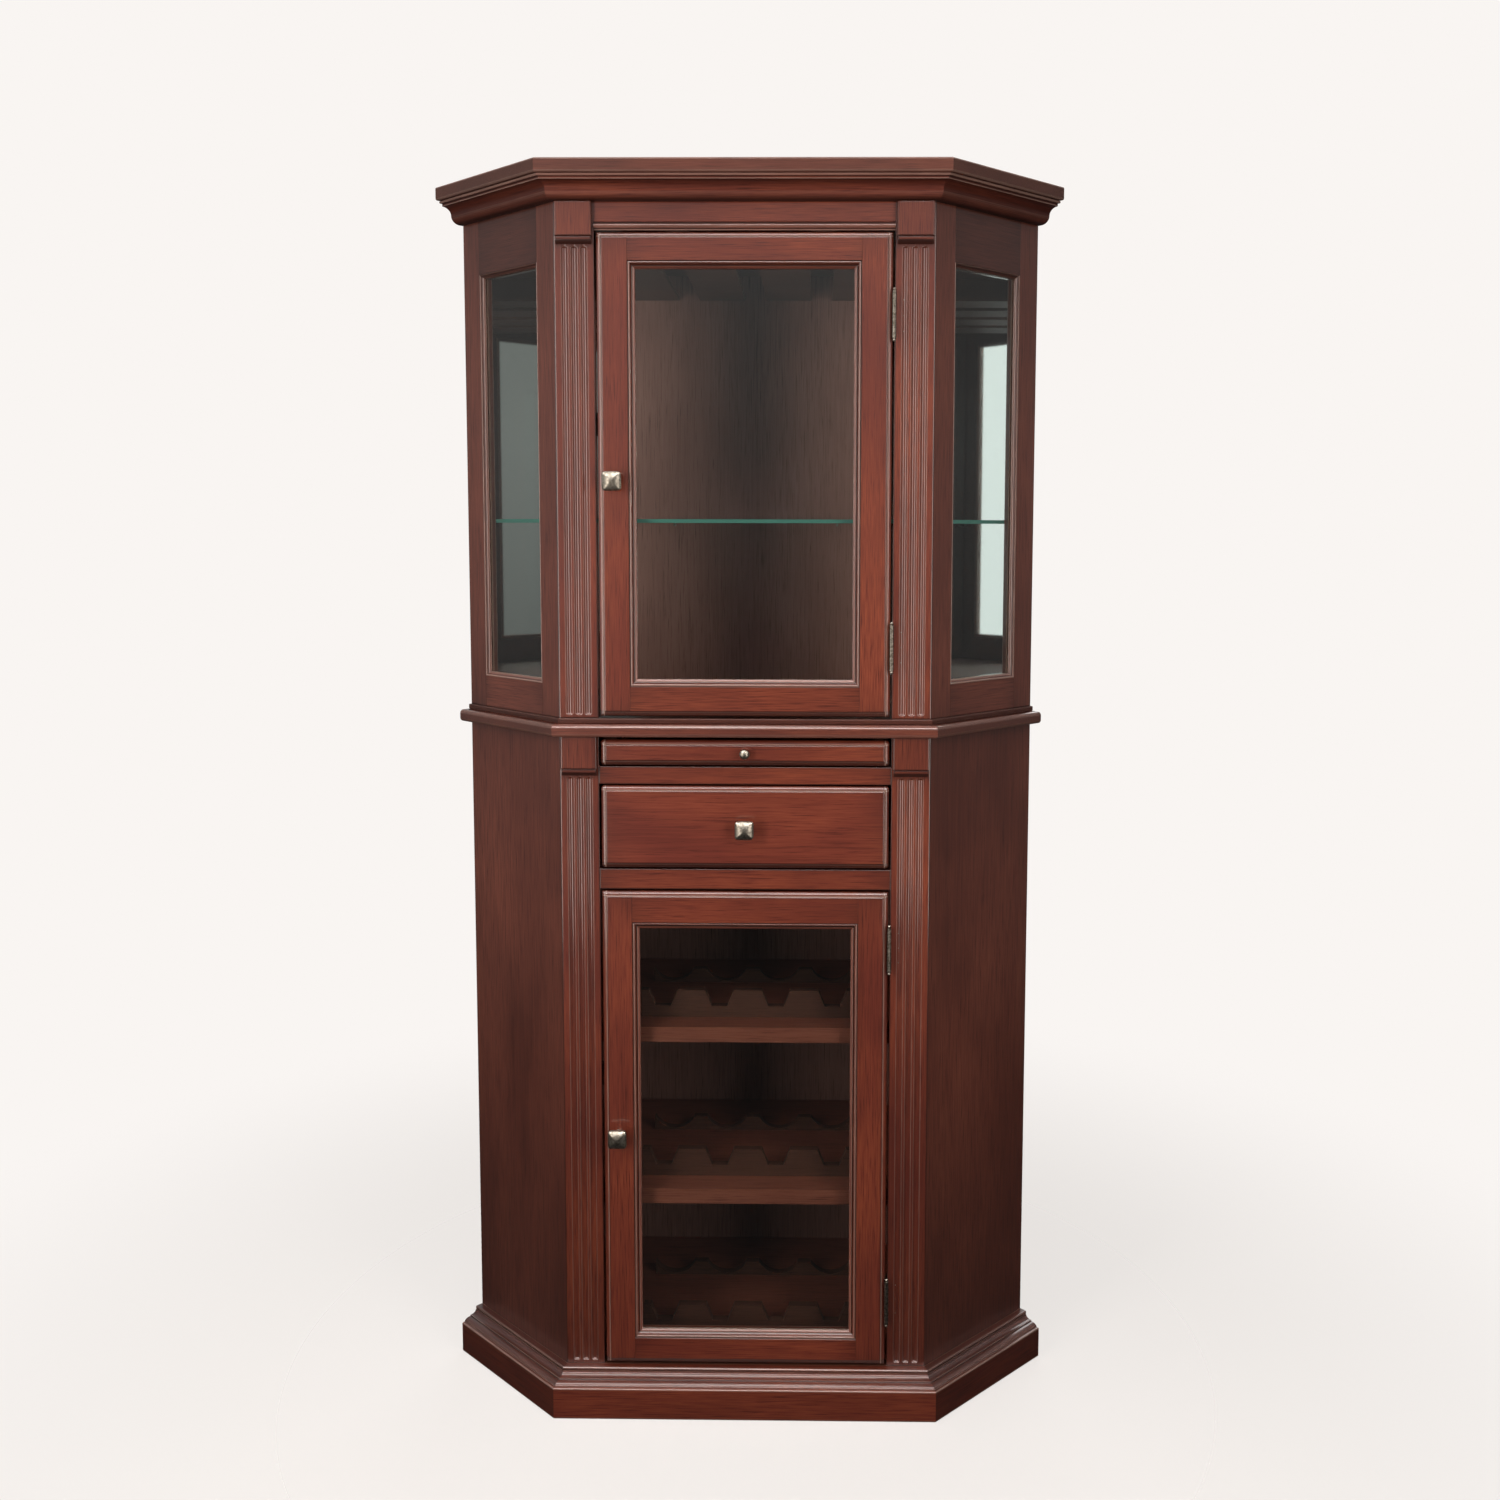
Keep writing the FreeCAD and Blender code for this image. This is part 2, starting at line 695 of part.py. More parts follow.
def hinge_leaf(middle, moving):
    """One leaf with its share of the knuckles: the moving one is on the door's edge."""
    step = hinge_height / hinge_knuckles
    low = middle - hinge_height / 2
    if moving:
        x0, x1 = door_half, door_half + hinge_leaf_thickness
    else:
        x0, x1 = opening_half - hinge_leaf_thickness, opening_half
    leaf = block(x0, x1, -door_proud, -door_proud + hinge_leaf_width, low, low + hinge_height)
    for index in range(hinge_knuckles):
        if (index % 2 == 1) != moving:
            continue
        z0 = low + index * step + knuckle_gap / 2
        z1 = low + (index + 1) * step - knuckle_gap / 2
        barrel = rod(hinge_barrel_radius, Vector(hinge_x, hinge_y, z0), Vector(hinge_x, hinge_y, z1))
        leaf = leaf.fuse([barrel, block(x0, x1, hinge_y, -door_proud, z0, z1)])
    bore = rod(hinge_pin_radius + hinge_pin_play, Vector(hinge_x, hinge_y, low - overrun),
               Vector(hinge_x, hinge_y, low + hinge_height + overrun))
    return leaf.cut([bore] + hinge_screws(middle, moving))


def hinge_screws(middle, moving):
    """Countersunk wood screws of one leaf."""
    hand = -1 if moving else 1
    edge = door_half if moving else opening_half
    y = -door_proud + hinge_leaf_width / 2
    screws = []
    for index in range(hinge_screws_per_leaf):
        z = middle + (index - (hinge_screws_per_leaf - 1) / 2) * hinge_screw_pitch
        face = Vector(edge - hand * hinge_leaf_thickness, y, z)
        wood = Vector(edge, y, z)
        tip = Vector(edge + hand * hinge_screw_length, y, z)
        head = Part.makeCone(hinge_screw_head_radius, hinge_screw_radius, hinge_leaf_thickness, face,
                             Vector(hand, 0, 0))
        screws.append(head.fuse(rod(hinge_screw_radius, wood, tip)))
    return screws


def hinge_pin(middle):
    """Loose pin with a ball finial at each end."""
    low = Vector(hinge_x, hinge_y, middle - hinge_height / 2)
    high = Vector(hinge_x, hinge_y, middle + hinge_height / 2)
    drop = Vector(0, 0, hinge_finial_radius)
    pin = rod(hinge_pin_radius, low - drop, high + drop)
    return pin.fuse([Part.makeSphere(hinge_finial_radius, low - drop),
                     Part.makeSphere(hinge_finial_radius, high + drop)])


def hinges():
    """Fixed leaves on the right stiles and the pins."""
    levels = upper_hinges + lower_hinges
    save("fixed_hinge_halves", *[hinge_leaf(z, False) for z in levels], *[hinge_pin(z) for z in levels])
    save("hinge_screws", *[screw for z in levels for screw in hinge_screws(z, False)])
    for name, pair in (("upper_door", upper_hinges), ("lower_door", lower_hinges)):
        save(name + "_hinge_leaves", *[hinge_leaf(z, True) for z in pair],
             *[screw for z in pair for screw in hinge_screws(z, True)])


def square_wire(size, y, x, z):
    """Square loop facing the front."""
    half = size / 2
    corners = [Vector(x + sx * half, y, z + sz * half) for sx, sz in ((-1, -1), (1, -1), (1, 1), (-1, 1))]
    return Part.makePolygon(corners + corners[:1])


def square_knob(x, face, z, wood_thickness):
    """Square knob with a low pyramid face on a round neck, and the screw that holds it."""
    neck_end = face - knob_neck_length
    rim_back = neck_end - (knob_size - knob_back_size) / 2
    rim_front = rim_back - knob_rim_thickness
    tip = face - knob_reach
    loops = [square_wire(knob_back_size, neck_end, x, z), square_wire(knob_size, rim_back, x, z),
             square_wire(knob_size, rim_front, x, z), square_wire(knob_tip_size, tip, x, z)]
    head = Part.makeLoft(loops, True, True)
    neck = rod(knob_neck_radius, Vector(x, face, z), Vector(x, neck_end, z))
    foot = rod(knob_foot_radius, Vector(x, face, z), Vector(x, face - knob_foot_thickness, z))
    screw = knob_screw(x, face, z, wood_thickness, knob_screw_bite)
    return [head.fuse([neck, foot]).cut(screw), screw]


def round_knob(x, face, z, wood_thickness):
    """Small turned knob and its screw."""
    neck_end = face - tray_knob_neck_length
    foot = rod(tray_knob_foot_radius, Vector(x, face, z), Vector(x, face - knob_foot_thickness, z))
    neck = rod(tray_knob_neck_radius, Vector(x, face, z), Vector(x, neck_end, z))
    head = rod(tray_knob_radius, Vector(x, neck_end, z), Vector(x, face - tray_knob_reach, z))
    soft = (tray_knob_reach - tray_knob_neck_length) / 2 - panel_gap
    head = head.makeFillet(soft, [edge for edge in head.Edges if edge.Closed and len(edge.Vertexes) == 1])
    screw = knob_screw(x, face, z, wood_thickness, tray_screw_bite)
    return [head.fuse([neck, foot]).cut(screw), screw]


def knob_screw(x, face, z, wood_thickness, bite):
    """Machine screw from the back of a board into a knob."""
    back = face + wood_thickness
    shank = rod(knob_screw_radius, Vector(x, face - bite, z), Vector(x, back, z))
    return shank.fuse(rod(screw_head_radius, Vector(x, back, z), Vector(x, back + screw_head_height, z)))


def knob_hole(x, face, z, wood_thickness):
    """Clearance hole through a board for a knob's screw."""
    radius = knob_screw_radius + knob_screw_play
    return rod(radius, Vector(x, face - overrun, z), Vector(x, face + wood_thickness + overrun, z))


def knob_level(door_low, door_high, knob_drop):
    """Height of a door's knob, a little below its middle."""
    return (door_low + door_high) / 2 - knob_drop


def strike_height(door_low, door_high, knob_drop):
    """Middle height of a door's catch."""
    return knob_level(door_low, door_high, knob_drop) + catch_above_knob


def door(name, z0, z1, bottom_rail, top_rail, knob_drop, hinge_middles):
    """Glazed door: two stiles, two rails, mitred sight moulding, pane, stops, knob and strike plate."""
    face = -door_proud
    back = face + door_thickness
    inner = door_half - door_stile_width
    radius = door_edge_radius

    def outer_edge(centre, box):
        on_front = abs(centre.y - face) < panel_gap
        long_edge = max(box.XLength, box.ZLength) > radius
        at_rim = (abs(abs(centre.x) - door_half) < panel_gap or abs(centre.z - z0) < panel_gap
                  or abs(centre.z - z1) < panel_gap)
        return on_front and long_edge and at_rim

    members = [block(-door_half, -inner, face, back, z0, z1), block(inner, door_half, face, back, z0, z1),
               block(-inner, inner, face, back, z0, z0 + bottom_rail),
               block(-inner, inner, face, back, z1 - top_rail, z1)]
    members = [rounded(member, radius, outer_edge) for member in members]
    knob_x = -door_half + door_knob_inset
    knob_z = knob_level(z0, z1, knob_drop)
    members[0] = members[0].cut(knob_hole(knob_x, face, knob_z, door_thickness))
    members[1] = members[1].cut([screw for middle in hinge_middles for screw in hinge_screws(middle, True)])
    save(name + "_frame", *members)

    low = z0 + bottom_rail
    high = z1 - top_rail
    top_out = door_proud - sight_sink
    glass_out = door_proud - sight_depth
    glass_back = glass_out - door_glass_thickness
    round_wide = sight_width - sight_bead
    round_deep = top_out - sight_sink - glass_out
    moulding = [(top_out, 0), (top_out + sight_sink, sight_bead / 2, top_out, sight_bead),
                (top_out - sight_sink, sight_bead),
                (glass_out + round_deep * along_y, sight_bead + round_wide * along_x, glass_out, sight_width),
                (glass_out, 0)]
    stop_width = sight_width - panel_gap
    stop = [(glass_back, 0), (glass_back, stop_width), (-back, stop_width), (-back, 0)]
    save(name + "_glass_mouldings", *framed(moulding, -inner, inner, low, high),
         *framed(stop, -inner, inner, low, high))
    save(name + "_glass", block(-inner + glass_play, inner - glass_play, -glass_out, -glass_back,
                                low + glass_play, high - glass_play))
    save(name + "_knob", *square_knob(knob_x, face, knob_z, door_thickness))
    middle = strike_height(z0, z1, knob_drop)
    return block(-door_half + reveal, -door_half + reveal + catch_magnet_width, back, back + strike_thickness,
                 middle - catch_height / 2, middle + catch_height / 2)


def catch(middle):
    """Magnetic catch behind the left stile, its magnet just behind the door's strike plate."""
    low = middle - catch_height / 2
    high = middle + catch_height / 2
    plate_face = -door_proud + door_thickness + strike_thickness + catch_gap
    right = -opening_half + catch_body_width / 2 + reveal
    body = block(right - catch_body_width, right, frame_thickness, frame_thickness + catch_body_depth,
                 low, high)
    magnet = block(-door_half + reveal, -door_half + reveal + catch_magnet_width, plate_face,
                   frame_thickness, low, high)
    return body.fuse(magnet).removeSplitter()


def doors():
    """Both doors and their catches."""
    upper_strike = door("upper_door", upper_door_bottom, upper_door_top, upper_door_bottom_rail,
                        upper_door_top_rail, upper_knob_drop, upper_hinges)
    lower_strike = door("lower_door", lower_door_bottom, lower_door_top, lower_door_bottom_rail,
                        lower_door_top_rail, lower_knob_drop, lower_hinges)
    save("upper_door_strike", upper_strike)
    save("lower_door_strike", lower_strike)
    save("door_catches", catch(strike_height(upper_door_bottom, upper_door_top, upper_knob_drop)),
         catch(strike_height(lower_door_bottom, lower_door_top, lower_knob_drop)))


def beaded_front(z0, z1, thickness):
    """Drawer or tray front with a round bead along its edges and a flat field inside a groove."""
    face = -door_proud
    bead = front_bead_radius
    front = block(-door_half, door_half, face, face + thickness, z0, z1)
    front = rounded(front, front_corner_radius, lambda centre, box: box.YLength > bead)
    soft = bead * (1 - along_y)
    rim = [(door_proud + overrun, -overrun), (door_proud + overrun, bead), (door_proud, bead),
           (door_proud - soft, soft, door_proud - bead, 0), (door_proud - bead, -overrun)]
    groove = [(door_proud, bead), (door_proud - soft, bead + bead * along_x, door_proud - bead, 2 * bead),
              (door_proud - bead, front_field_inset), (door_proud, front_field_inset)]
    for steps in (rim, groove):
        front = front.cut(framed(steps, -door_half, door_half, z0, z1))
    return front


def drawer():
    """Drawer box with a grooved bottom behind a beaded front."""
    back_of_front = -door_proud + drawer_front_thickness
    front = beaded_front(drawer_bottom, drawer_top, drawer_front_thickness)
    half = door_half - drawer_side_play
    low = drawer_bottom + door_gap
    high = low + drawer_side_height
    side = block(half - drawer_side_thickness, half, back_of_front, drawer_depth, low, high)
    inner = half - drawer_side_thickness
    back = block(-inner, inner, drawer_depth - drawer_side_thickness, drawer_depth, low, high)
    panel_z = low + drawer_bottom_lift
    panel = block(-inner - drawer_groove, inner + drawer_groove, back_of_front - drawer_groove,
                  drawer_depth - drawer_side_thickness + drawer_groove,
                  panel_z, panel_z + drawer_bottom_thickness)
    knob_z = (drawer_bottom + drawer_top) / 2
    front = front.cut(knob_hole(0, -door_proud, knob_z, drawer_front_thickness)).cut(panel)
    save("drawer_front", front)
    save("drawer_sides", side.cut(panel), mirrored(side).cut(panel))
    save("drawer_back", back.cut(panel))
    save("drawer_bottom", panel)
    save("drawer_knob", *square_knob(0, -door_proud, knob_z, drawer_front_thickness))


def tray():
    """Pull-out serving tray: a front with a raised field, a panel and a low rim on three sides."""
    back_of_front = -door_proud + tray_front_thickness
    front = beaded_front(tray_bottom, tray_top, tray_front_thickness)
    knob_z = (tray_bottom + tray_top) / 2
    front = front.cut(knob_hole(0, -door_proud, knob_z, tray_front_thickness))
    save("tray_front", front)
    half = door_half - drawer_side_play
    low = tray_bottom + reveal
    panel_top = low + tray_panel_thickness
    rim_top = panel_top + tray_rim_height
    inner = half - tray_rim_thickness
    save("tray_panel", block(-half, half, back_of_front, tray_depth, low, panel_top))
    side = block(inner, half, back_of_front, tray_depth, panel_top, rim_top)
    rear = block(-inner, inner, tray_depth - tray_rim_thickness, tray_depth, panel_top, rim_top)
    save("tray_rim", side, mirrored(side), rear)
    save("tray_knob", *round_knob(0, -door_proud, knob_z, tray_front_thickness))


def runner(deck_top, run_height, box_depth):
    """Right-hand ledge under a drawer's side, with its guide and end stop in one piece."""
    half = door_half - drawer_side_play
    inner = half - runner_width + guide_thickness
    outer = half + running_gap + guide_thickness
    end = box_depth + running_gap + stop_length
    ledge = block(inner, outer, frame_thickness, end, deck_top, run_height)
    guide = block(half + running_gap, outer, frame_thickness, end, run_height, run_height + guide_height)
    stop = block(inner, outer, box_depth + running_gap, end, run_height, run_height + guide_height)
    return ledge.fuse([guide, stop]).removeSplitter()


def kicker(low, high):
    """Right-hand strip over a drawer's side that stops it tipping."""
    half = door_half - drawer_side_play
    return block(half - kicker_width, half, frame_thickness, frame_thickness + kicker_length, low, high)


def drawer_supports():
    """Decks inside the body, with runners on them and kickers above the boxes."""
    wall = side_thickness
    outline = inner_plan(frame_thickness, wall, 0)
    save("decks", prism(outline, drawer_deck_top - deck_thickness, drawer_deck_top),
         prism(outline, tray_deck_top - deck_thickness, tray_deck_top))
    drawer_low = drawer_bottom + door_gap
    tray_low = tray_bottom + reveal
    drawer_runner = runner(drawer_deck_top, drawer_low - running_gap, drawer_depth)
    tray_runner = runner(tray_deck_top, tray_low - running_gap, tray_depth)
    drawer_kicker = kicker(drawer_low + drawer_side_height + kicker_gap, tray_deck_top - deck_thickness)
    rim_top = tray_low + tray_panel_thickness + tray_rim_height
    tray_kicker = kicker(rim_top + kicker_gap, waist_bottom)
    right_side = [drawer_runner, tray_runner, drawer_kicker, tray_kicker]
    save("runners_and_kickers", *right_side, *[mirrored(strip) for strip in right_side])


def neck_board(top):
    """Notched board that holds the bottle necks on a rack."""
    half = bottle_pitch * (bottles_across - 1) / 2 + neck_board_margin
    low = top
    high = top + neck_board_height
    outline = [(-half, low), (-half, high)]
    for index in range(bottles_across):
        x = (index - (bottles_across - 1) / 2) * bottle_pitch
        outline += [(x - notch_top_width / 2, high), (x - notch_bottom_width / 2, high - notch_depth),
                    (x + notch_bottom_width / 2, high - notch_depth), (x + notch_top_width / 2, high)]
    outline += [(half, high), (half, low)]
    front = rack_shelf_setback + neck_board_setback
    return plate(outline, front, front + neck_board_thickness)


def body_cradle(top):
    """Scalloped board that holds the bottles' bodies."""
    half = bottle_pitch * (bottles_across - 1) / 2 + neck_board_margin
    front = rack_shelf_setback + neck_board_setback + cradle_spacing
    board = block(-half, half, front, front + cradle_thickness, top, top + cradle_height)
    for index in range(bottles_across):
        x = (index - (bottles_across - 1) / 2) * bottle_pitch
        z = top + cradle_lift + cradle_radius
        scallop = rod(cradle_radius, Vector(x, front - overrun, z),
                      Vector(x, front + cradle_thickness + overrun, z))
        board = board.cut(scallop)
    return board


def racks():
    """Three wine racks: the floor and two shelves, each with a neck board and a body cradle."""
    levels = [floor_panel_top + index * rack_pitch for index in range(rack_count)]
    save("neck_boards", *[neck_board(level) for level in levels])
    save("bottle_cradles", *[body_cradle(level) for level in levels])
    shelves = []
    cleats = []
    corner_x, rear_face = back_corner()
    back_half = corner_x - back_cleat_end_gap
    for level in levels[1:]:
        low = level - rack_shelf_thickness
        shelves.append(prism(inner_plan(rack_shelf_setback, side_thickness, panel_gap), low, level))
        side = block(shelf_cleat_start, side_length - shelf_cleat_end_gap, side_thickness,
                     side_thickness + shelf_cleat_width, low - shelf_cleat_height, low)
        cleats += [on_side(side, 1), on_side(side, -1),
                   block(-back_half, back_half, rear_face - shelf_cleat_width, rear_face,
                         low - shelf_cleat_height, low)]
    save("rack_shelves", *shelves)
    save("shelf_cleats", *cleats)


def side_pin(along):
    """Shelf pin in a side frame's stile, in the front face's frame."""
    z = shelf_height - shelf_thickness - pin_radius
    return rod(pin_radius, Vector(along, frame_thickness - pin_sink, z),
               Vector(along, frame_thickness + pin_length, z))


def back_pin(hand):
    """Shelf pin in the centre back panel."""
    z = shelf_height - shelf_thickness - pin_radius
    corner_x, face = back_corner()
    x = hand * (corner_x - pin_back_inset)
    return rod(pin_radius, Vector(x, face + pin_sink, z), Vector(x, face - pin_length, z))


def glass_shelf():
    """Glass shelf of the cabinet's plan, resting on six pins."""
    edges = (-shelf_setback, -frame_thickness - shelf_edge_gap,
             -oblique_back_thickness - mirror_thickness - shelf_edge_gap,
             -centre_back_thickness - shelf_edge_gap)
    save("glass_shelf", prism(plan(*edges), shelf_height - shelf_thickness, shelf_height))
    pins = [on_side(side_pin(along), hand) for along in (pin_side_inset, side_length - pin_side_inset)
            for hand in (1, -1)]
    save("shelf_pins", *pins, back_pin(1), back_pin(-1))


def stemware_rails():
    """Rails of T section under the ceiling that glasses hang from by their feet."""
    bottom = frieze_bottom - stem_rail_drop
    flange_top = bottom + stem_rail_flange_thickness
    front = frame_thickness
    back = body_depth - centre_back_thickness - stem_rail_end_gap
    rails_row = []
    for index in range(stem_rail_count):
        x = (index - (stem_rail_count - 1) / 2) * stem_rail_pitch
        flange = block(x - stem_rail_flange / 2, x + stem_rail_flange / 2, front, back, bottom, flange_top)
        web = block(x - stem_rail_web / 2, x + stem_rail_web / 2, front, back, flange_top, frieze_bottom)
        rails_row.append(flange.fuse(web).removeSplitter())
    save("stemware_rails", *rails_row)


os.makedirs("parts", exist_ok=True)
plinth()
base_cleats()
base()
stiles()
capitals()
rails()
lower_sides()
backs()
waist()
side_frames()
mirrors()
top()
hinges()
doors()
drawer()
tray()
drawer_supports()
racks()
glass_shelf()
stemware_rails()
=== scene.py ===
import math

import bmesh
import bpy
import numpy as np
from mathutils import Matrix, Vector


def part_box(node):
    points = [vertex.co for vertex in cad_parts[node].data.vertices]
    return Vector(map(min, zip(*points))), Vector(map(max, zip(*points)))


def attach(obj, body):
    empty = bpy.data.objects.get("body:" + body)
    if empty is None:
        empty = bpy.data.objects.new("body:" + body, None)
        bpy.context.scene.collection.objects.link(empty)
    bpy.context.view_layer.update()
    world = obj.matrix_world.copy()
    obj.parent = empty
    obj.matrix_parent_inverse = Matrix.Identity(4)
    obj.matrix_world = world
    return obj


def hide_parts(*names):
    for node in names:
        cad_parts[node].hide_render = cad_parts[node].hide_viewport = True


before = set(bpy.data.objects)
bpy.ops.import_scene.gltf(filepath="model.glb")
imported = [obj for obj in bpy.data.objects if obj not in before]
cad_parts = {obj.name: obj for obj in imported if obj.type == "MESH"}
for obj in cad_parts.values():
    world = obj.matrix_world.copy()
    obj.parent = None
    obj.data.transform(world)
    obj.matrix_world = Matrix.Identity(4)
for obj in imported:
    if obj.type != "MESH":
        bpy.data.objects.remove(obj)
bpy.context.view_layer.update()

# Camera: 2.3 m before the front and 1.45 m up, a little right of the middle, tipped 5 degrees down. The
# focal length and the middle of the lens are in pixels of the 1500 pixel frame.
frame_pixels = 1500
focal_pixels = 1465.25
lens_middle_x = 799.02
lens_middle_y = 659.59
sensor_mm = 36.0
camera_place = Vector((0.11537, -2.48892, 1.44805))
camera_tip = 0.09027
camera_yaw = -0.01298
camera_roll = 0.00241

camera_data = bpy.data.cameras.new("photo_camera")
camera_data.sensor_width = sensor_mm
camera_data.lens = focal_pixels / frame_pixels * sensor_mm
camera_data.shift_x = (frame_pixels / 2 - lens_middle_x) / frame_pixels
camera_data.shift_y = (lens_middle_y - frame_pixels / 2) / frame_pixels
camera = bpy.data.objects.new("photo_camera", camera_data)
camera.matrix_world = (Matrix.Translation(camera_place) @ Matrix.Rotation(-camera_yaw, 4, "Z")
                       @ Matrix.Rotation(math.pi / 2 - camera_tip, 4, "X")
                       @ Matrix.Rotation(camera_roll, 4, "Z"))
bpy.context.scene.collection.objects.link(camera)
bpy.context.scene.camera = camera

# Studio: a pale floor that fades into pale air, a tall strip light on each side of the camera, and broad
# lights at the far left, overhead and behind. Only glossy surfaces show its grey walls, dark floor and
# bright skylight.
backdrop_code = "F9F5F2"
air_code = "8C8782"
air_strength = 0.4
air_low = 0.1
wall_code = "F8F5F4"
wall_beside = (0.03, 0.24)
wall_ahead = (0.05, 0.6)
beside_rise = (-0.35, 0.05)
ahead_rise = (-0.1, 0.25)
turn_aside = (0.3, 0.8)
skylight_rise = 0.66
skylight_half = 0.09
skylight_strength = 14.0
floor_code = "F4F1EE"
floor_radius = 1.9
floor_solid = 0.7
floor_clearness = 0.72
floor_drop = 0.0004
floor_corners = 64
soft_lights = {
    "light_left": ((-0.95, -1.4, 1.3), (0.0, -0.2, 1.3), 0.5, 1.8, 17.5, "FFF6EE"),
    "light_right": ((1.0, -1.45, 1.3), (0.0, -0.2, 1.3), 0.5, 1.8, 14.0, "FFF6EE"),
    "light_above": ((-0.3, -0.7, 4.0), (0.0, -0.3, 1.2), 2.4, 1.2, 50.0, "FFFAF6"),
    "light_wall": ((-2.7, -0.75, 1.65), (0.0, -0.3, 1.5), 1.2, 1.9, 8.0, "F8F8FA"),
    "light_rear": ((0.6, 3.0, 2.9), (0.0, 0.2, 1.0), 2.4, 1.6, 40.0, "FFFFFF"),
}


def linear(code):
    """Linear colour of an sRGB hex code: a straight stretch near black and a power of 2.4 above it."""
    share = np.array([int(code[place:place + 2], 16) for place in (0, 2, 4)]) / 255
    low = share / 12.92
    high = ((share + 0.055) / 1.055) ** 2.4
    return (*np.where(share <= 0.04045, low, high).tolist(), 1.0)


def add(tree, kind, links=None, **settings):
    """Add a node. Settings are its own properties, links its sockets: each a value or another's output."""
    node = tree.nodes.new("ShaderNode" + kind)
    for name, value in settings.items():
        setattr(node, name, value)
    for socket, value in (links or {}).items():
        if isinstance(value, bpy.types.NodeSocket):
            tree.links.new(value, node.inputs[socket])
        else:
            node.inputs[socket].default_value = value
    return node


def new_material(name):
    """Empty node material."""
    material = bpy.data.materials.new(name)
    material.use_nodes = True
    material.node_tree.nodes.clear()
    return material


air = bpy.data.worlds.new("studio_air")
air.use_nodes = True
air_tree = air.node_tree
air_tree.nodes.clear()
ray = add(air_tree, "LightPath")
around_us = add(air_tree, "TexCoord")
axes = add(air_tree, "SeparateXYZ", {0: around_us.outputs["Generated"]})
beside, ahead, weak = (add(air_tree, "MapRange", {"Value": axes.outputs["Z"], "From Min": rise[0],
                                                  "From Max": rise[1], "To Min": low, "To Max": high})
                       for rise, (low, high) in ((beside_rise, wall_beside), (ahead_rise, wall_ahead),
                                                 (beside_rise, (air_low, air_strength))))
aside = add(air_tree, "Math", {0: axes.outputs["X"]}, operation="ABSOLUTE")
turned = add(air_tree, "MapRange", {"Value": aside.outputs[0], "From Min": turn_aside[0],
                                    "From Max": turn_aside[1]})
round_us = add(air_tree, "Mix", {0: turned.outputs[0], 2: ahead.outputs[0], 3: beside.outputs[0]})
overhead = add(air_tree, "Math", {0: axes.outputs["Z"], 1: skylight_rise, 2: skylight_half},
               operation="COMPARE")
before_us = add(air_tree, "Math", {0: axes.outputs["Y"], 1: 0.0}, operation="LESS_THAN")
skylight = add(air_tree, "Math", {0: overhead.outputs[0], 1: before_us.outputs[0]}, operation="MULTIPLY")
lit = add(air_tree, "Math", {0: skylight.outputs[0], 1: skylight_strength, 2: round_us.outputs[0]},
          operation="MULTIPLY_ADD")
dim = add(air_tree, "Background", {"Color": linear(air_code), "Strength": weak.outputs[0]})
wall = add(air_tree, "Background", {"Color": linear(wall_code), "Strength": lit.outputs[0]})
pale = add(air_tree, "Background", {"Color": linear(backdrop_code), "Strength": 1.0})
seen = add(air_tree, "MixShader", {0: ray.outputs["Is Glossy Ray"], 1: dim.outputs[0], 2: wall.outputs[0]})
shown = add(air_tree, "MixShader", {0: ray.outputs["Is Camera Ray"], 1: seen.outputs[0], 2: pale.outputs[0]})
add(air_tree, "OutputWorld", {"Surface": shown.outputs[0]})
bpy.context.scene.world = air
bpy.context.scene.view_settings.view_transform = "Standard"
bpy.context.scene.cycles.transparent_max_bounces = 24
bpy.context.scene.cycles.diffuse_bounces = 3

for light_name, (place, aim, width, height, power, code) in soft_lights.items():
    light_data = bpy.data.lights.new(light_name, "AREA")
    light_data.shape = "RECTANGLE"
    light_data.size = width
    light_data.size_y = height
    light_data.energy = power
    light_data.color = linear(code)[:3]
    light = bpy.data.objects.new(light_name, light_data)
    direction = Vector(aim) - Vector(place)
    light.matrix_world = Matrix.Translation(place) @ direction.to_track_quat("-Z", "Y").to_matrix().to_4x4()
    bpy.context.scene.collection.objects.link(light)

floor_paint = new_material("pale_studio_floor")
floor_tree = floor_paint.node_tree
spot = add(floor_tree, "TexCoord")
reach = add(floor_tree, "VectorMath", {0: spot.outputs["Object"]}, operation="LENGTH")
fade = add(floor_tree, "MapRange", {"Value": reach.outputs["Value"], "From Min": floor_solid,
                                    "From Max": floor_radius, "To Min": floor_clearness},
           interpolation_type="SMOOTHSTEP")
look = add(floor_tree, "LightPath")
unseen = add(floor_tree, "Math", {0: 1.0, 1: look.outputs["Is Camera Ray"]}, operation="SUBTRACT")
open_share = add(floor_tree, "Math", {0: fade.outputs["Result"], 1: unseen.outputs[0]}, operation="MAXIMUM")
paint = add(floor_tree, "BsdfDiffuse", {"Color": linear(floor_code)})
clear = add(floor_tree, "BsdfTransparent")
mixed = add(floor_tree, "MixShader", {0: open_share.outputs[0], 1: paint.outputs[0], 2: clear.outputs[0]})
add(floor_tree, "OutputMaterial", {"Surface": mixed.outputs[0]})
turns = np.linspace(0, 2 * np.pi, floor_corners, endpoint=False)
floor_points = np.stack([floor_radius * np.cos(turns), floor_radius * np.sin(turns),
                         np.full(floor_corners, -floor_drop)], axis=1)
floor_mesh = bpy.data.meshes.new("studio_floor")
floor_mesh.from_pydata(floor_points.tolist(), [], [list(range(floor_corners))])
floor_mesh.materials.append(floor_paint)
floor = bpy.data.objects.new("studio_floor", floor_mesh)
bpy.context.scene.collection.objects.link(floor)

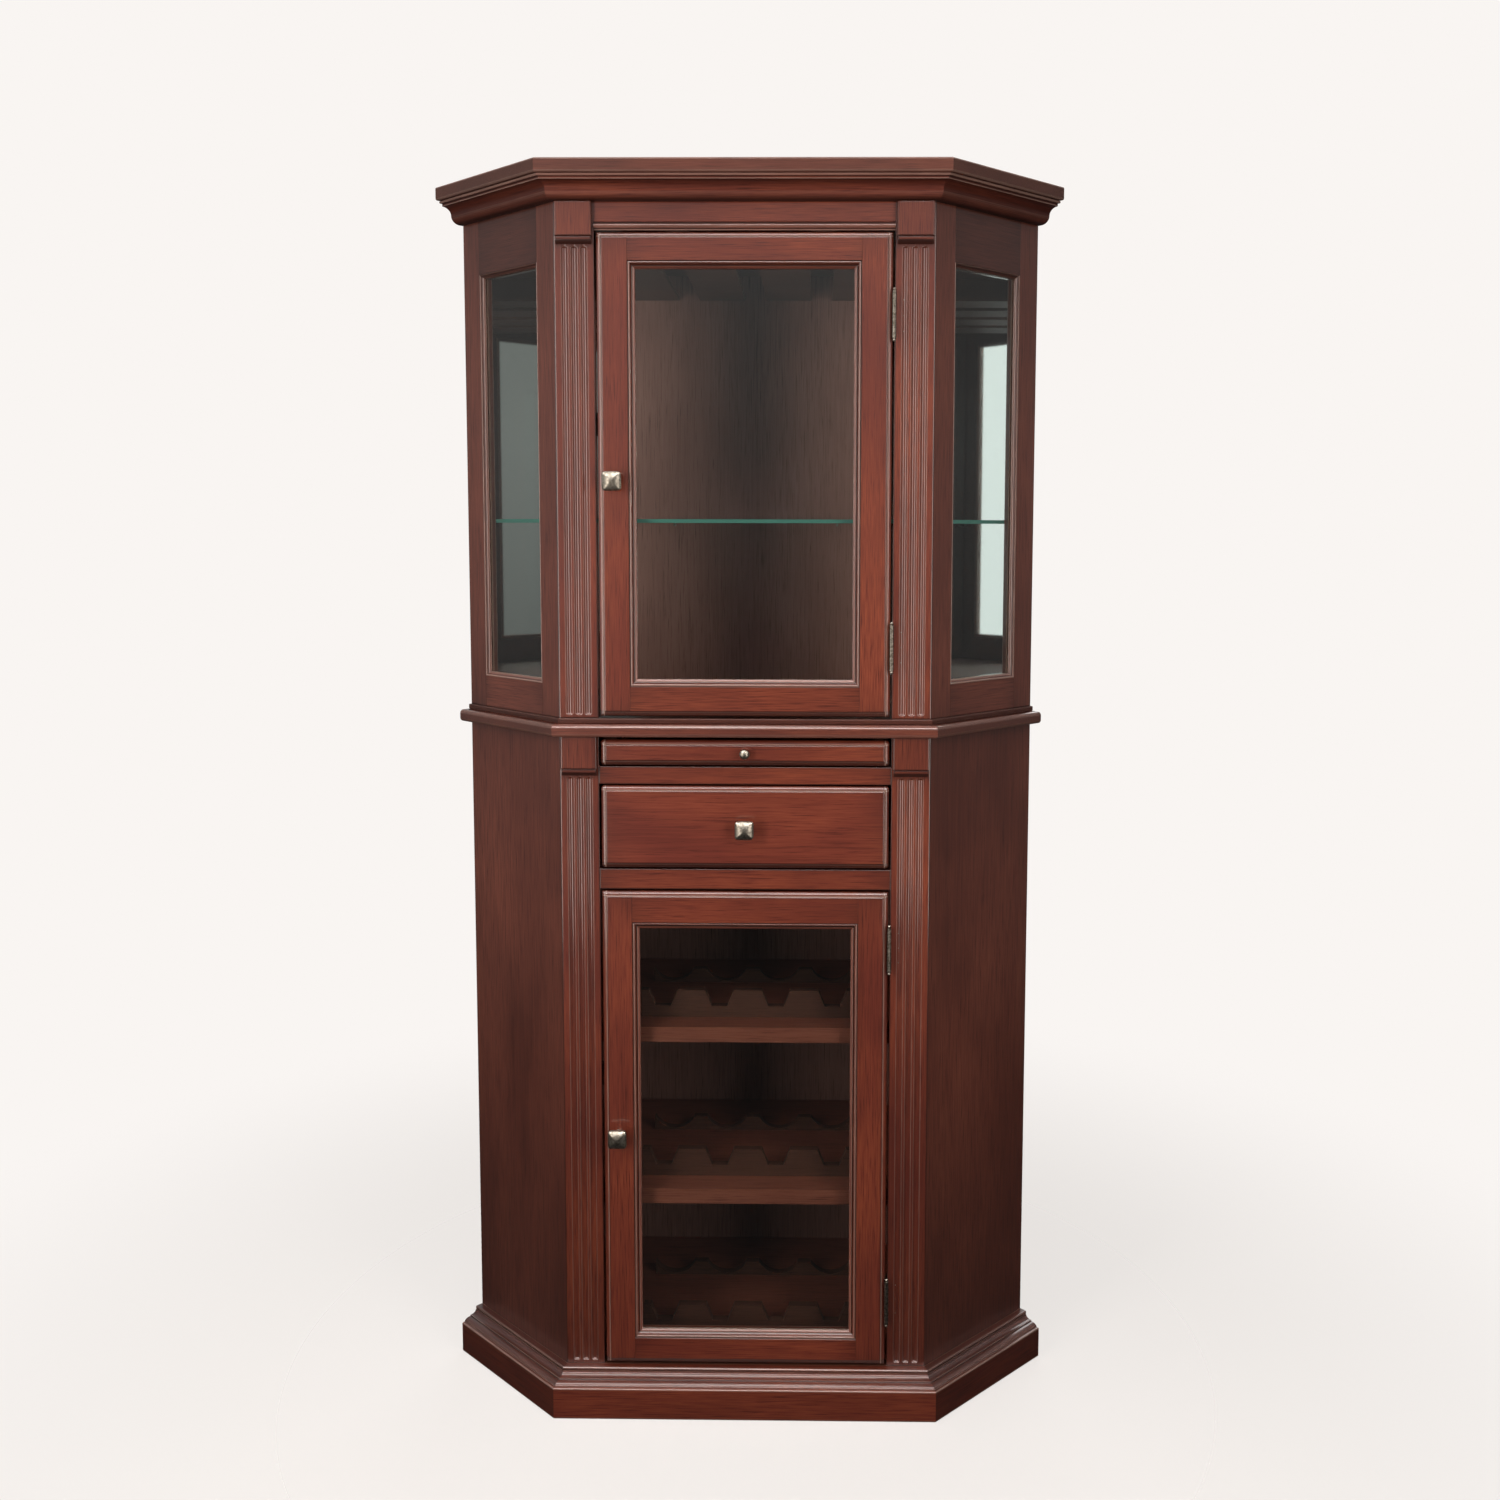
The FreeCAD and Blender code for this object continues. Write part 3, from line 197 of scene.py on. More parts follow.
# Wood finish: mahogany-stained hardwood under satin lacquer. Fine pores run along the grain, drawn wider
# than real ones so that they show. A dark glaze lies in the grooves and joints, and the same dark colour
# is painted as shade in recesses, under parts and on the sides. The edges are rubbed back to a paler
# pinkish brown that is partly a painted highlight.
pore_width = 0.0011
pore_length = 0.05
streak_width = 0.005
streak_length = 0.28
cloud_size = 0.16
pore_depth = 0.00004
# Pale colour of rubbed edges, which also serves as a painted highlight on them.
rub_and_highlight_code = "AE9286"
# Dark glaze colour, also used as painted shade.
glaze_and_shade_code = "1C0B07"


def stained_wood(name, dark_code, mid_code, light_code, roughness, coat, turn=None):
    """Stained wood: three colours of stain by streak, pore and cloud noise. Its pattern follows the piece's
    own grain attribute, or the object turned so that its first axis lies along the grain."""
    material = new_material(name)
    tree = material.node_tree
    if turn is None:
        place = add(tree, "Attribute", attribute_name="grain").outputs["Vector"]
    else:
        here = add(tree, "TexCoord")
        place = add(tree, "Mapping", {"Vector": here.outputs["Object"], "Rotation": turn}).outputs[0]
    patterns = []
    for wide, long, detail in ((streak_width, streak_length, 4.0), (pore_width, pore_length, 3.0),
                               (cloud_size, cloud_size * 2, 2.0)):
        scaled = add(tree, "Mapping", {"Vector": place, "Scale": (1 / long, 1 / wide, 1 / wide)})
        noise = add(tree, "TexNoise", {"Vector": scaled.outputs[0], "Scale": 1.0, "Detail": detail,
                                       "Roughness": 0.6})
        patterns.append(noise.outputs["Fac"])
    streak, pore, cloud = patterns
    streak_tone = add(tree, "MapRange", {"Value": streak, "From Min": 0.15, "From Max": 0.75})
    pore_tone = add(tree, "MapRange", {"Value": pore, "From Min": 0.35, "From Max": 0.65})
    pore_shade = add(tree, "MapRange", {"Value": pore, "From Min": 0.42, "From Max": 0.3, "To Max": 0.6})
    cloud_tone = add(tree, "MapRange", {"Value": cloud, "From Min": 0.3, "From Max": 0.7, "To Min": 0.05,
                                        "To Max": 0.95})
    low = add(tree, "Mix", {0: streak_tone.outputs[0], 6: linear(dark_code), 7: linear(mid_code)},
              data_type="RGBA")
    high = add(tree, "Mix", {0: pore_tone.outputs[0], 6: linear(mid_code), 7: linear(light_code)},
               data_type="RGBA")
    stain = add(tree, "Mix", {0: cloud_tone.outputs[0], 6: low.outputs[2], 7: high.outputs[2]},
                data_type="RGBA")
    # The first attribute darkens the stain with real glaze in the joints and painted shade in recesses, under
    # parts and on the sides; the second lightens it with real rubbing and painted highlights on the edges.
    glaze_and_shade = add(tree, "Attribute", attribute_name="glaze_and_shade")
    rub_and_highlight = add(tree, "Attribute", attribute_name="rub_and_highlight")
    patch = add(tree, "MapRange", {"Value": pore, "From Min": 0.25, "From Max": 0.6, "To Min": 0.45})
    worn_and_highlight = add(tree, "Math", {0: rub_and_highlight.outputs["Fac"], 1: patch.outputs[0]}, operation="MULTIPLY")
    colour = stain.outputs[2]
    for share, code in ((pore_shade.outputs[0], glaze_and_shade_code), (glaze_and_shade.outputs["Fac"], glaze_and_shade_code),
                        (worn_and_highlight.outputs[0], rub_and_highlight_code)):
        colour = add(tree, "Mix", {0: share, 6: colour, 7: linear(code)}, data_type="RGBA").outputs[2]
    sheen = add(tree, "MapRange", {"Value": streak, "To Min": roughness - 0.05, "To Max": roughness + 0.07})
    relief = add(tree, "Bump", {"Height": pore, "Strength": 0.3, "Distance": pore_depth})
    wood = add(tree, "BsdfPrincipled", {"Base Color": colour, "Roughness": sheen.outputs[0],
                                        "Specular IOR Level": 0.2, "Normal": relief.outputs[0],
                                        "Coat Weight": coat, "Coat Roughness": 0.15, "Coat IOR": 1.65})
    add(tree, "OutputMaterial", {"Surface": wood.outputs[0]})
    return material


mahogany = stained_wood("mahogany_stain_lacquer", "451A14", "6A2C20", "94492F", 0.45, 0.9)
# A darker copy of the stain for the canted sides: painted shade.
shaded_side_mahogany = stained_wood("mahogany_stain_lacquer_shaded_for_sides", "3A1C15", "5A2F25", "7A4435", 0.45, 0.8)
# A lighter copy of the stain for the drawer and tray fronts: painted light.
lit_front_mahogany = stained_wood("mahogany_stain_lacquer_lit_for_drawers", "4C1D16", "743124", "9F5034", 0.45, 0.9)

# Faces of the body: every front piece lies on the straight front or on one of the two sides, which go
# back from its ends at 45 degrees. A place on a face is given along it, out from it and up.
cant = math.radians(45)
mitre_slope = math.tan(cant / 2)
stile_low, stile_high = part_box("upper_stile_right")
side_low, side_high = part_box("lower_side_right")
front_y = stile_low.y
front_half = stile_high.x
opening_half = stile_low.x
side_length = (side_high.x - front_half) / math.cos(cant)
rear_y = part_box("back_centre")[1].y
faces = {
    "front": ((0, front_y), (1, 0), (0, -1)),
    "right": ((front_half, front_y), (math.cos(cant), math.sin(cant)), (math.sin(cant), -math.cos(cant))),
    "left": ((-front_half, front_y), (-math.cos(cant), math.sin(cant)), (-math.sin(cant), -math.cos(cant))),
}


def on_face(face, along, out, height):
    """Points of a face: its foot + along times its direction + out times its normal, at their height."""
    foot, direction, normal = (np.array(value) for value in faces[face])
    along, out, height = np.broadcast_arrays(along, out, height)
    flat = foot + along[..., None] * direction + out[..., None] * normal
    return np.concatenate([flat, height[..., None]], axis=-1).reshape(-1, 3)


# Plinth: solid boards that stand on the floor, mitred at the two front corners and screwed to cleats,
# with three plainer boards under the back. Glaze lies darker in the joints, and the sides carry painted
# shade.
plinth_low, plinth_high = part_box("plinth_boards")
plinth_top = plinth_high.z
plinth_reach = front_y - plinth_low.y
plinth_thickness = 0.025
plinth_edge = 0.0022
rear_board = 0.018
rear_edge = 0.00015
round_share = 0.45
marked_share = 0.49
# Reach of the rubbed and glazed marks along a section, with their painted highlights and shade.
mark_reach = 0.0016
full_turn = 1.6
joint_line = 0.0004
joint_glaze = 0.5
# Painted shade on the canted sides, which face away from the lights.
side_shade = 0.55
draws = np.random.default_rng(11)


def grain_at(along, across, deep):
    """Place in the wood along its grain, across it and into it, moved by a draw so that no boards match."""
    along, across, deep = np.broadcast_arrays(along, across, deep)
    return (np.stack([along, across, deep], axis=-1) + draws.uniform(0, 4, 3)).reshape(-1, 3)


def grid_quads(rows, columns, closed):
    """Corner numbers of the quads between the points of a grid whose columns may close on themselves."""
    number = np.arange(rows * columns).reshape(rows, columns)
    if closed:
        number = np.hstack([number, number[:, :1]])
    corners = [number[:-1, :-1], number[:-1, 1:], number[1:, 1:], number[1:, :-1]]
    return np.stack(corners, axis=-1).reshape(-1, 4)


def tube(rows, count):
    """Side faces and end caps of a solid made of rows of rings with as many points each."""
    return {"quads": grid_quads(rows, count, True),
            "caps": [np.arange(count), np.arange(count) + (rows - 1) * count]}


def softened(corners, radius):
    """Closed section with each corner turned into a parabola that starts and ends one radius from it, or
    nearer where its sides are short, and with a point further along each side where the edge marks end."""
    before = np.roll(corners, 1, axis=0) - corners
    after = np.roll(corners, -1, axis=0) - corners
    length_before = np.linalg.norm(before, axis=1, keepdims=True)
    length_after = np.linalg.norm(after, axis=1, keepdims=True)
    start = corners + before / length_before * np.minimum(radius, round_share * length_before)
    end = corners + after / length_after * np.minimum(radius, round_share * length_after)
    first = corners + before / length_before * np.minimum(radius + mark_reach, marked_share * length_before)
    last = corners + after / length_after * np.minimum(radius + mark_reach, marked_share * length_after)
    share = np.linspace(0, 1, 5)[None, :, None]
    curve = ((1 - share) ** 2 * start[:, None] + 2 * share * (1 - share) * corners[:, None]
             + share ** 2 * end[:, None])
    return np.concatenate([first[:, None], curve, last[:, None]], axis=1).reshape(-1, 2)


def wear_and_light(points, closed, hand=1):
    """Rubbed and glazed shares along a section: the turns of its line within reach of a point, added with
    weights that fall off with distance. Outward turns are rubbed and carry a painted highlight, and inward
    ones hold glazing and painted shade. Turns to the left are outward where hand is 1, and a closed
    section's hand is the sign of its area."""
    arrive = points - np.roll(points, 1, axis=0)
    leave = np.roll(points, -1, axis=0) - points
    cross = arrive[:, 0] * leave[:, 1] - arrive[:, 1] * leave[:, 0]
    turn = np.arctan2(cross, (arrive * leave).sum(axis=1))
    length = np.linalg.norm(leave, axis=1)
    place = np.concatenate([[0], np.cumsum(length[:-1])])
    gap = np.abs(place[:, None] - place[None, :])
    if closed:
        gap = np.minimum(gap, length.sum() - gap)
        hand = np.sign((points[:, 0] * np.roll(points[:, 1], -1)
                        - np.roll(points[:, 0], -1) * points[:, 1]).sum())
    else:
        turn[[0, -1]] = 0
    share = np.clip(1 - gap / mark_reach, 0, 1) / full_turn
    glaze_and_shade = np.clip(share @ np.maximum(0, -hand * turn), 0, 1)
    return np.clip(share @ np.maximum(0, hand * turn), 0, 1) * (1 - glaze_and_shade), glaze_and_shade


def shaded(part, share):
    """A part darkened all over by a further share of the dark glazing colour."""
    part["glaze_and_shade"] = 1 - (1 - part["glaze_and_shade"]) * (1 - share)
    return part


def joint_shares(length):
    """Shares of a length that lie at its start and end and where the dark line beside each joint stops."""
    near = joint_line / length
    return np.array([0, near, 1 - near, 1])[:, None]


def jointed(face, along, out, height, grain, rub_and_highlight, glaze_and_shade):
    """Length of moulding from four rings of points, the outer two with the glaze that ran into the joints."""
    joint = np.array([joint_glaze, 0, 0, joint_glaze])[:, None]
    return {"points": on_face(face, along, out, height), **tube(4, along.shape[1]),
            "grain": grain_at(*grain), "rub_and_highlight": (rub_and_highlight * (1 - joint)).ravel(),
            "glaze_and_shade": np.maximum(glaze_and_shade, joint).ravel()}


def run_part(face, loop, start, end, start_slope=0, end_slope=0):
    """A closed section of (out, height) points carried along a face between two cuts. Each point goes from
    start - slope times out to end + slope times out, by four shares of the way."""
    out, height = loop[:, 0], loop[:, 1]
    share = joint_shares(end - start)
    along = (1 - share) * (start - start_slope * out) + share * (end + end_slope * out)
    return jointed(face, along, out, height, (along, height, out), *wear_and_light(loop, True))


def around(loop):
    """One moulding round the front and both sides, mitred at the front corners, with painted shade on the
    sides.
    """
    front = run_part("front", loop, -front_half, front_half, mitre_slope, mitre_slope)
    return [front] + [shaded(run_part(side, loop, 0, side_length, mitre_slope), side_shade)
                      for side in ("right", "left")]


def post_part(outline, low, high, soft):
    """Board on edge over a closed plan outline, its top and bottom edges eased: four rings of the outline,
    the outer two moved in along the corners' normals by the easing."""
    outline = softened(outline, soft)
    leave = np.roll(outline, -1, axis=0) - outline
    leave /= np.linalg.norm(leave, axis=1, keepdims=True)
    normal = leave + np.roll(leave, 1, axis=0)
    normal /= np.linalg.norm(normal, axis=1, keepdims=True)
    area = (outline[:, 0] * np.roll(outline[:, 1], -1) - np.roll(outline[:, 0], -1) * outline[:, 1]).sum()
    inward = np.sign(area) * np.stack([-normal[:, 1], normal[:, 0]], axis=1)
    inset = soft * np.array([1, 0, 0, 1])[:, None, None]
    flat = outline[None] + inset * inward[None]
    height = np.array([low, low + soft, high - soft, high])[:, None] + np.zeros(len(outline))
    count = len(outline)
    return {"points": np.concatenate([flat, height[..., None]], axis=-1).reshape(-1, 3), **tube(4, count),
            "grain": grain_at(flat[..., 0], flat[..., 1], height), "rub_and_highlight": np.zeros(4 * count),
            "glaze_and_shade": np.zeros(4 * count)}


def make_piece(name, parts, material, node, body="cabinet", sharp=32):
    """One object of several closed parts, its faces turned outwards and its flat joins kept sharp. It rides
    on a body and stands for a node."""
    first = np.cumsum([0] + [len(part["points"]) for part in parts])
    polygons = []
    for part, start in zip(parts, first):
        polygons += (part["quads"] + start).tolist()
        polygons += [(cap + start).tolist() for cap in part["caps"]]
    mesh = bpy.data.meshes.new(name)
    mesh.from_pydata(np.concatenate([part["points"] for part in parts]).tolist(), [], polygons)
    for key, kind, field in (("grain", "FLOAT_VECTOR", "vector"), ("rub_and_highlight", "FLOAT", "value"),
                             ("glaze_and_shade", "FLOAT", "value")):
        data = np.concatenate([part[key].reshape(len(part["points"]), -1) for part in parts])
        mesh.attributes.new(key, kind, "POINT").data.foreach_set(field, data.astype(np.float32).ravel())
    work = bmesh.new()
    work.from_mesh(mesh)
    bmesh.ops.recalc_face_normals(work, faces=work.faces[:])
    work.to_mesh(mesh)
    work.free()
    mesh.shade_smooth()
    mesh.set_sharp_from_angle(angle=math.radians(sharp))
    mesh.materials.append(material)
    piece = bpy.data.objects.new(name, mesh)
    bpy.context.scene.collection.objects.link(piece)
    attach(piece, body)
    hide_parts(node)


def wall_crossing(out_side, out_oblique):
    """Plan corner of the right side wall and the oblique back square to it, each moved outwards."""
    return on_face("right", side_length + out_oblique, out_side, 0)[0, :2]


def rear_crossing(out_oblique, level):
    """Plan corner of the right oblique back, moved outwards, and a line across the cabinet at a depth: the
    back comes in by as much as it goes to the rear."""
    side_corner = wall_crossing(0, out_oblique)
    return np.array([side_corner[0] - (level - side_corner[1]), level])


plinth_inner = plinth_reach - plinth_thickness
plinth_loop = softened(np.array([(plinth_inner, 0), (plinth_reach, 0), (plinth_reach, plinth_top),
                                 (plinth_inner, plinth_top)]), plinth_edge)
board_end = rear_crossing(-rear_board, rear_y)
oblique_board = np.array([wall_crossing(plinth_inner, 0), wall_crossing(plinth_inner, -rear_board),
                          board_end, rear_crossing(0, rear_y)])
centre_board = np.array([board_end, board_end * (-1, 1), board_end * (-1, 1) - (0, rear_board),
                         board_end - (0, rear_board)])
plinth_parts = around(plinth_loop)
for outline in (oblique_board, oblique_board * (-1, 1), centre_board):
    plinth_parts.append(post_part(outline, 0, plinth_top, rear_edge))
make_piece("plinth", plinth_parts, mahogany, "plinth_boards")

# Base moulding: one length of bead, cove and ovolo, machined in the solid and glued round the foot of
# the body on the base board's edge.
foot_low, foot_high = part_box("base_moulding")
foot_base, foot_top = foot_low.z, foot_high.z
foot_reach = front_y - foot_low.y
foot_bead = 0.0026
foot_bead_out = 0.0130
cove_deep = 0.0070
cove_out = 0.0225
fillet = 0.0018
moulding_edge = 0.0003
foot_shade = 0.4
foot_rub_and_highlight = 0.35
bead_foot = foot_top - 2 * foot_bead
cove_foot = bead_foot - cove_deep
ledge = cove_foot - fillet


def arc(centre_x, centre_y, radius_x, radius_y, start, end, count=9):
    """Points on part of an ellipse: centre + radius times the cosine and sine of the angle in degrees."""
    turn = np.radians(np.linspace(start, end, count))
    return np.column_stack([centre_x + radius_x * np.cos(turn), centre_y + radius_y * np.sin(turn)])


base_corners = np.concatenate([
    [(0, foot_base)],
    arc(cove_out + fillet, foot_base, foot_reach - cove_out - fillet, ledge - foot_base, 0, 90),
    [(cove_out + fillet, cove_foot), (cove_out, cove_foot)],
    arc(cove_out, bead_foot, cove_out - foot_bead_out, cove_deep, 260, 182, 7),
    [(foot_bead_out, bead_foot)],
    arc(foot_bead_out - foot_bead, foot_top - foot_bead, foot_bead, foot_bead, -80, 90, 9),
    [(0, foot_top)]])
# Painted shade over the whole base moulding, and its rubbed edges and painted highlights cut back.
foot_parts = [shaded(part, foot_shade) for part in around(softened(base_corners, moulding_edge))]
for part in foot_parts:
    part["rub_and_highlight"] *= foot_rub_and_highlight
make_piece("base_mouldings", foot_parts, mahogany, "base_moulding")

# Fluted stiles of the front frame: four uprights, two below the waist and two above it, with three
# round-ended flutes each. Their outer edges are mitred to the canted sides.
frame_thickness = 0.020
arris_radius = 0.004
eased_radius = 0.0008
end_share = 0.3
fade_start = 0.15
fade_reach = 0.055
# Painted shade on each board's side walls and back, which face into the gaps between boards.
board_wall_shade = 0.65
flute_count = 3
flute_pitch = 0.0148
flute_width = 0.0104
flute_depth = 0.0036
flute_blend = 0.0004
flute_rub_and_highlight_band = 0.0005
flute_rub_and_highlight_share = 0.6
flute_glaze_and_shade_share = 0.3
flute_foot_gap = 0.005
flute_head_gap = 0.003
flute_step = 0.0005
flute_end = 3.4
capital_height = 0.053
neck_height = 0.011
neck_shadow = 0.010
neck_shadow_share = 0.6
stile_foot = 0.7
stile_foot_share = 0.5
level_slack = 0.01


def rim(points, gain=1.0):
    """Edge of a board's face from its side inwards: distances in, depths below the face, and the shares of
    rubbing with painted highlight and of glazing with painted shade, the first times a gain."""
    wall = [[points[0, 0], points[0, 1] + mark_reach]]
    flat = [[points[-1, 0] + mark_reach, 0], [points[-1, 0] + 2 * mark_reach, 0]]
    line = np.concatenate([wall, points, flat])
    rub_and_highlight, glaze_and_shade = wear_and_light(line, False, -1)
    return np.column_stack([line, np.clip(gain * rub_and_highlight, 0, 1), glaze_and_shade])[1:-1]


def soft_rim(radius):
    """Edge rounded by a quarter circle."""
    return rim(arc(radius, radius, radius, radius, 180, 90, 7) * (1, -1) + (0, 2 * radius))


def arris_rim(radius):
    """Half of the rounded edge where the front meets a canted side: an arc of half the angle between them."""
    tangent = radius * mitre_slope
    turn = np.linspace(cant / 2, 0, 5)
    return rim(np.column_stack([tangent - radius * np.sin(turn), radius - radius * np.cos(turn)]))


def fading(edge, share):
    """An edge from which darker stain, sprayed along the joints, fades out over the face: its glaze is the
    share times the square of what is left of its reach."""
    steps = np.linspace(fade_start, 1, 6)
    near = edge.copy()
    near[:, 3] = 1 - (1 - near[:, 3]) * (1 - share)
    far = np.column_stack([edge[-1, 0] + fade_reach * steps, 0 * steps, 0 * steps, share * (1 - steps) ** 2])
    return np.concatenate([near, far])


def board_part(face, span, rise, front, back, rims, upright=True, corner=0.0, mitre=(0, 0), carve=None,
               lines=((), ())):
    """Board on a face with its four edges (start, end, foot, head) shaped by rims. The depth of the front
    at a point is the largest of the four rims' depths at its distances from the edges, plus what carve
    takes away. Rounded corners carry square rings to round ones. A mitre moves the back's ends."""
    columns = np.unique(np.concatenate([span[0] + rims[0][:, 0], span[1] - rims[1][:, 0], lines[0]]))
    columns = columns[(columns >= span[0]) & (columns <= span[1])]
    rows = np.unique(np.concatenate([rise[0] + rims[2][:, 0], rise[1] - rims[3][:, 0], lines[1]]))
    rows = rows[(rows >= rise[0]) & (rows <= rise[1])]
    height, along = np.meshgrid(rows, columns, indexing="ij")
    distance = [along - span[0], span[1] - along, height - rise[0], rise[1] - height]
    depth, rub_and_highlight, glaze_and_shade = (np.max([np.interp(gap, edge[:, 0], edge[:, column]) for gap, edge
                                 in zip(distance, rims)], axis=0) for column in (1, 2, 3))
    if carve:
        cut, cut_rub_and_highlight, cut_glaze_and_shade = carve(along, height)
        depth = depth + cut
        rub_and_highlight = np.maximum(rub_and_highlight, cut_rub_and_highlight)
        glaze_and_shade = np.maximum(glaze_and_shade, cut_glaze_and_shade)
    grain = grain_at(*((height, along) if upright else (along, height)), depth)
    if corner:
        side = np.where(distance[0] < distance[1], 1, -1)
        level = np.where(distance[2] < distance[3], 1, -1)
        reach_x = corner - np.minimum(distance[0], distance[1])
        reach_z = corner - np.minimum(distance[2], distance[3])
        inside = (reach_x > 0) & (reach_z > 0)
        pull = np.where(inside, 1 - np.maximum(reach_x, reach_z) / np.hypot(reach_x, reach_z).clip(1e-9), 0)
        along = along + side * reach_x * pull
        height = height + level * reach_z * pull
    count_z, count_x = depth.shape
    number = np.arange(count_z * count_x).reshape(count_z, count_x)
    loop = np.concatenate([number[0, :-1], number[:-1, -1], number[-1, :0:-1], number[:0:-1, 0]])
    ring_along, ring_height = along.ravel()[loop], height.ravel()[loop]
    ring_out = front - depth.ravel()[loop]
    share = (ring_along - span[0]) / (span[1] - span[0])
    shift = (mitre[0] * (1 - share) + mitre[1] * share) * (front - back)
    part_shift = mark_reach / (front - back)
    rings = [(ring_along + shift * part_shift, ring_out - mark_reach), (ring_along + shift, back)]
    points = [on_face(face, along, front - depth, height)]
    quads = [grid_quads(count_z, count_x, False)]
    last = loop
    total = number.size
    for ring_x, out in rings:
        points.append(on_face(face, ring_x, out, ring_height))
        fresh = total + np.arange(len(loop))
        quads.append(np.stack([last, fresh, np.roll(fresh, -1), np.roll(last, -1)], axis=1))
        last = fresh
        total += len(loop)
    ring_grain = grain[loop]
    deeper = ring_grain + (0, 0, front - back)
    zero = np.zeros(2 * len(loop))
    return {"points": np.concatenate(points), "quads": np.concatenate(quads), "caps": [last],
            "grain": np.concatenate([grain, ring_grain, deeper]),
            "rub_and_highlight": np.concatenate([rub_and_highlight.ravel(), zero]),
            "glaze_and_shade": np.concatenate([glaze_and_shade.ravel(), zero + board_wall_shade])}


def darkened(part, level, reach, share):
    """A part with painted shade over a level, or under it where the reach is negative: at each point the
    share times what is left of the reach darkens it, and its rubbed edges and highlights fade by as much."""
    away = (part["points"][:, 2] - level) / reach
    left = np.clip(1 - away, 0, 1) * (away > -level_slack)
    part["glaze_and_shade"] = np.maximum(part["glaze_and_shade"], share * left)
    part["rub_and_highlight"] = part["rub_and_highlight"] * (1 - share * left)
    return part


def fluted(middle, low, high):
    """Cutting of the flutes: a circle's depth at each point's distance from the axis, blended softly into
    the face. Past the straight part the way past counts in that distance too, stretched by half of the
    flutes' end value, so that the ends are short ovals. Edges are rubbed with a painted highlight, and
    floors hold glazing with painted shade."""
    axes = middle + (np.arange(flute_count) - (flute_count - 1) / 2) * flute_pitch

    def carve(along, height):
        side = np.min([np.abs(along - axis) for axis in axes], axis=0)
        past = np.maximum(0, np.maximum(low - height, height - high) + flute_width / flute_end)
        away = np.hypot(side, past * flute_end / 2)
        sunk = np.sqrt(np.maximum(0, flute_radius ** 2 - away ** 2)) - (flute_radius - flute_depth)
        depth = (sunk + np.sqrt(sunk ** 2 + flute_blend ** 2)) / 2
        depth = np.where(away < flute_width / 2 + flute_blend * 3, depth, 0)
        rub_and_highlight = flute_rub_and_highlight_share * np.exp(-((away - flute_width / 2) / flute_rub_and_highlight_band) ** 2)
        glaze_and_shade = flute_glaze_and_shade_share * np.clip(depth / flute_depth, 0, 1)
        return depth, rub_and_highlight, glaze_and_shade

    return carve


arris = arris_rim(arris_radius)
eased = soft_rim(eased_radius)
ended = fading(eased, end_share)
flute_radius = (flute_width ** 2 / 4 + flute_depth ** 2) / (2 * flute_depth)
stile_middle = (opening_half + front_half) / 2
half_flutes = flute_count * flute_pitch / 2
flute_columns = stile_middle + np.arange(-half_flutes, half_flutes + flute_step, flute_step)
run_out = flute_width / 2 + flute_step
for level, over in (("lower", "waist_board"), ("upper", "crown_moulding")):
    low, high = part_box(level + "_stile_right")
    foot, head = low.z, high.z
    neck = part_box(over)[0].z - capital_height - neck_height
    flute_low, flute_high = foot + flute_foot_gap, neck - flute_head_gap
    flute_rows = np.concatenate([np.arange(flute_low - flute_step, flute_low + run_out, flute_step),
                                 np.linspace(flute_low + run_out, flute_high - run_out, 9),
                                 np.arange(flute_high - run_out, flute_high + flute_step, flute_step)])
    for hand, side_name in ((1, "right"), (-1, "left")):
        span = sorted((hand * opening_half, hand * front_half))
        edges = [eased, arris][::hand]
        mitre = (0, -mitre_slope) if hand > 0 else (mitre_slope, 0)
        part = board_part("front", span, (foot, head), 0, -frame_thickness, [*edges, ended, ended],
                          mitre=mitre, carve=fluted(hand * stile_middle, flute_low, flute_high),
                          lines=(np.sort(hand * flute_columns), flute_rows))
        # Painted shadow under the capital's neck.
        part = darkened(part, neck, -neck_shadow, neck_shadow_share)
        # Painted shade growing darker towards the floor on the lower stiles.
        if level == "lower":
            part = darkened(part, foot, stile_foot, stile_foot_share)
        make_piece(level + "_fluted_stile_" + side_name, [part], mahogany, level + "_stile_" + side_name,
                   sharp=50)

# Capitals: a block with eased edges over a small neck moulding whose lower half turns in, glued on the head
# of each fluted stile. Both carry painted shade, darkest on the neck's turned-in half.
capital_width = 0.0575
capital_reach = 0.0105
block_edge = 0.0022
block_shade = 0.18
neck_reach = 0.0085
neck_inset = 0.0012
neck_turn_in = 0.0062
neck_shares = np.array([(0, 1), (0.04, 0.84), (0.12, 0.62), (0.24, 0.4), (0.38, 0.2), (0.5, 0.06),
                        (0.6, 0)])
neck_turn_shade = 0.8
neck_shade = 0.25
lower_edge_shade = 0.75
lower_edge_highlight = 0.15


def lower(edge, glaze_and_shade=lower_edge_shade):
    """A lower edge in painted shade: its rubbed share and highlight mostly taken away, and at least a share
    of painted shade wherever it lies below the face.
    """
    edge = edge.copy()
    edge[:, 2] *= lower_edge_highlight
    edge[:, 3] = np.where(edge[:, 1] > 0, np.maximum(edge[:, 3], glaze_and_shade), edge[:, 3])
    return edge


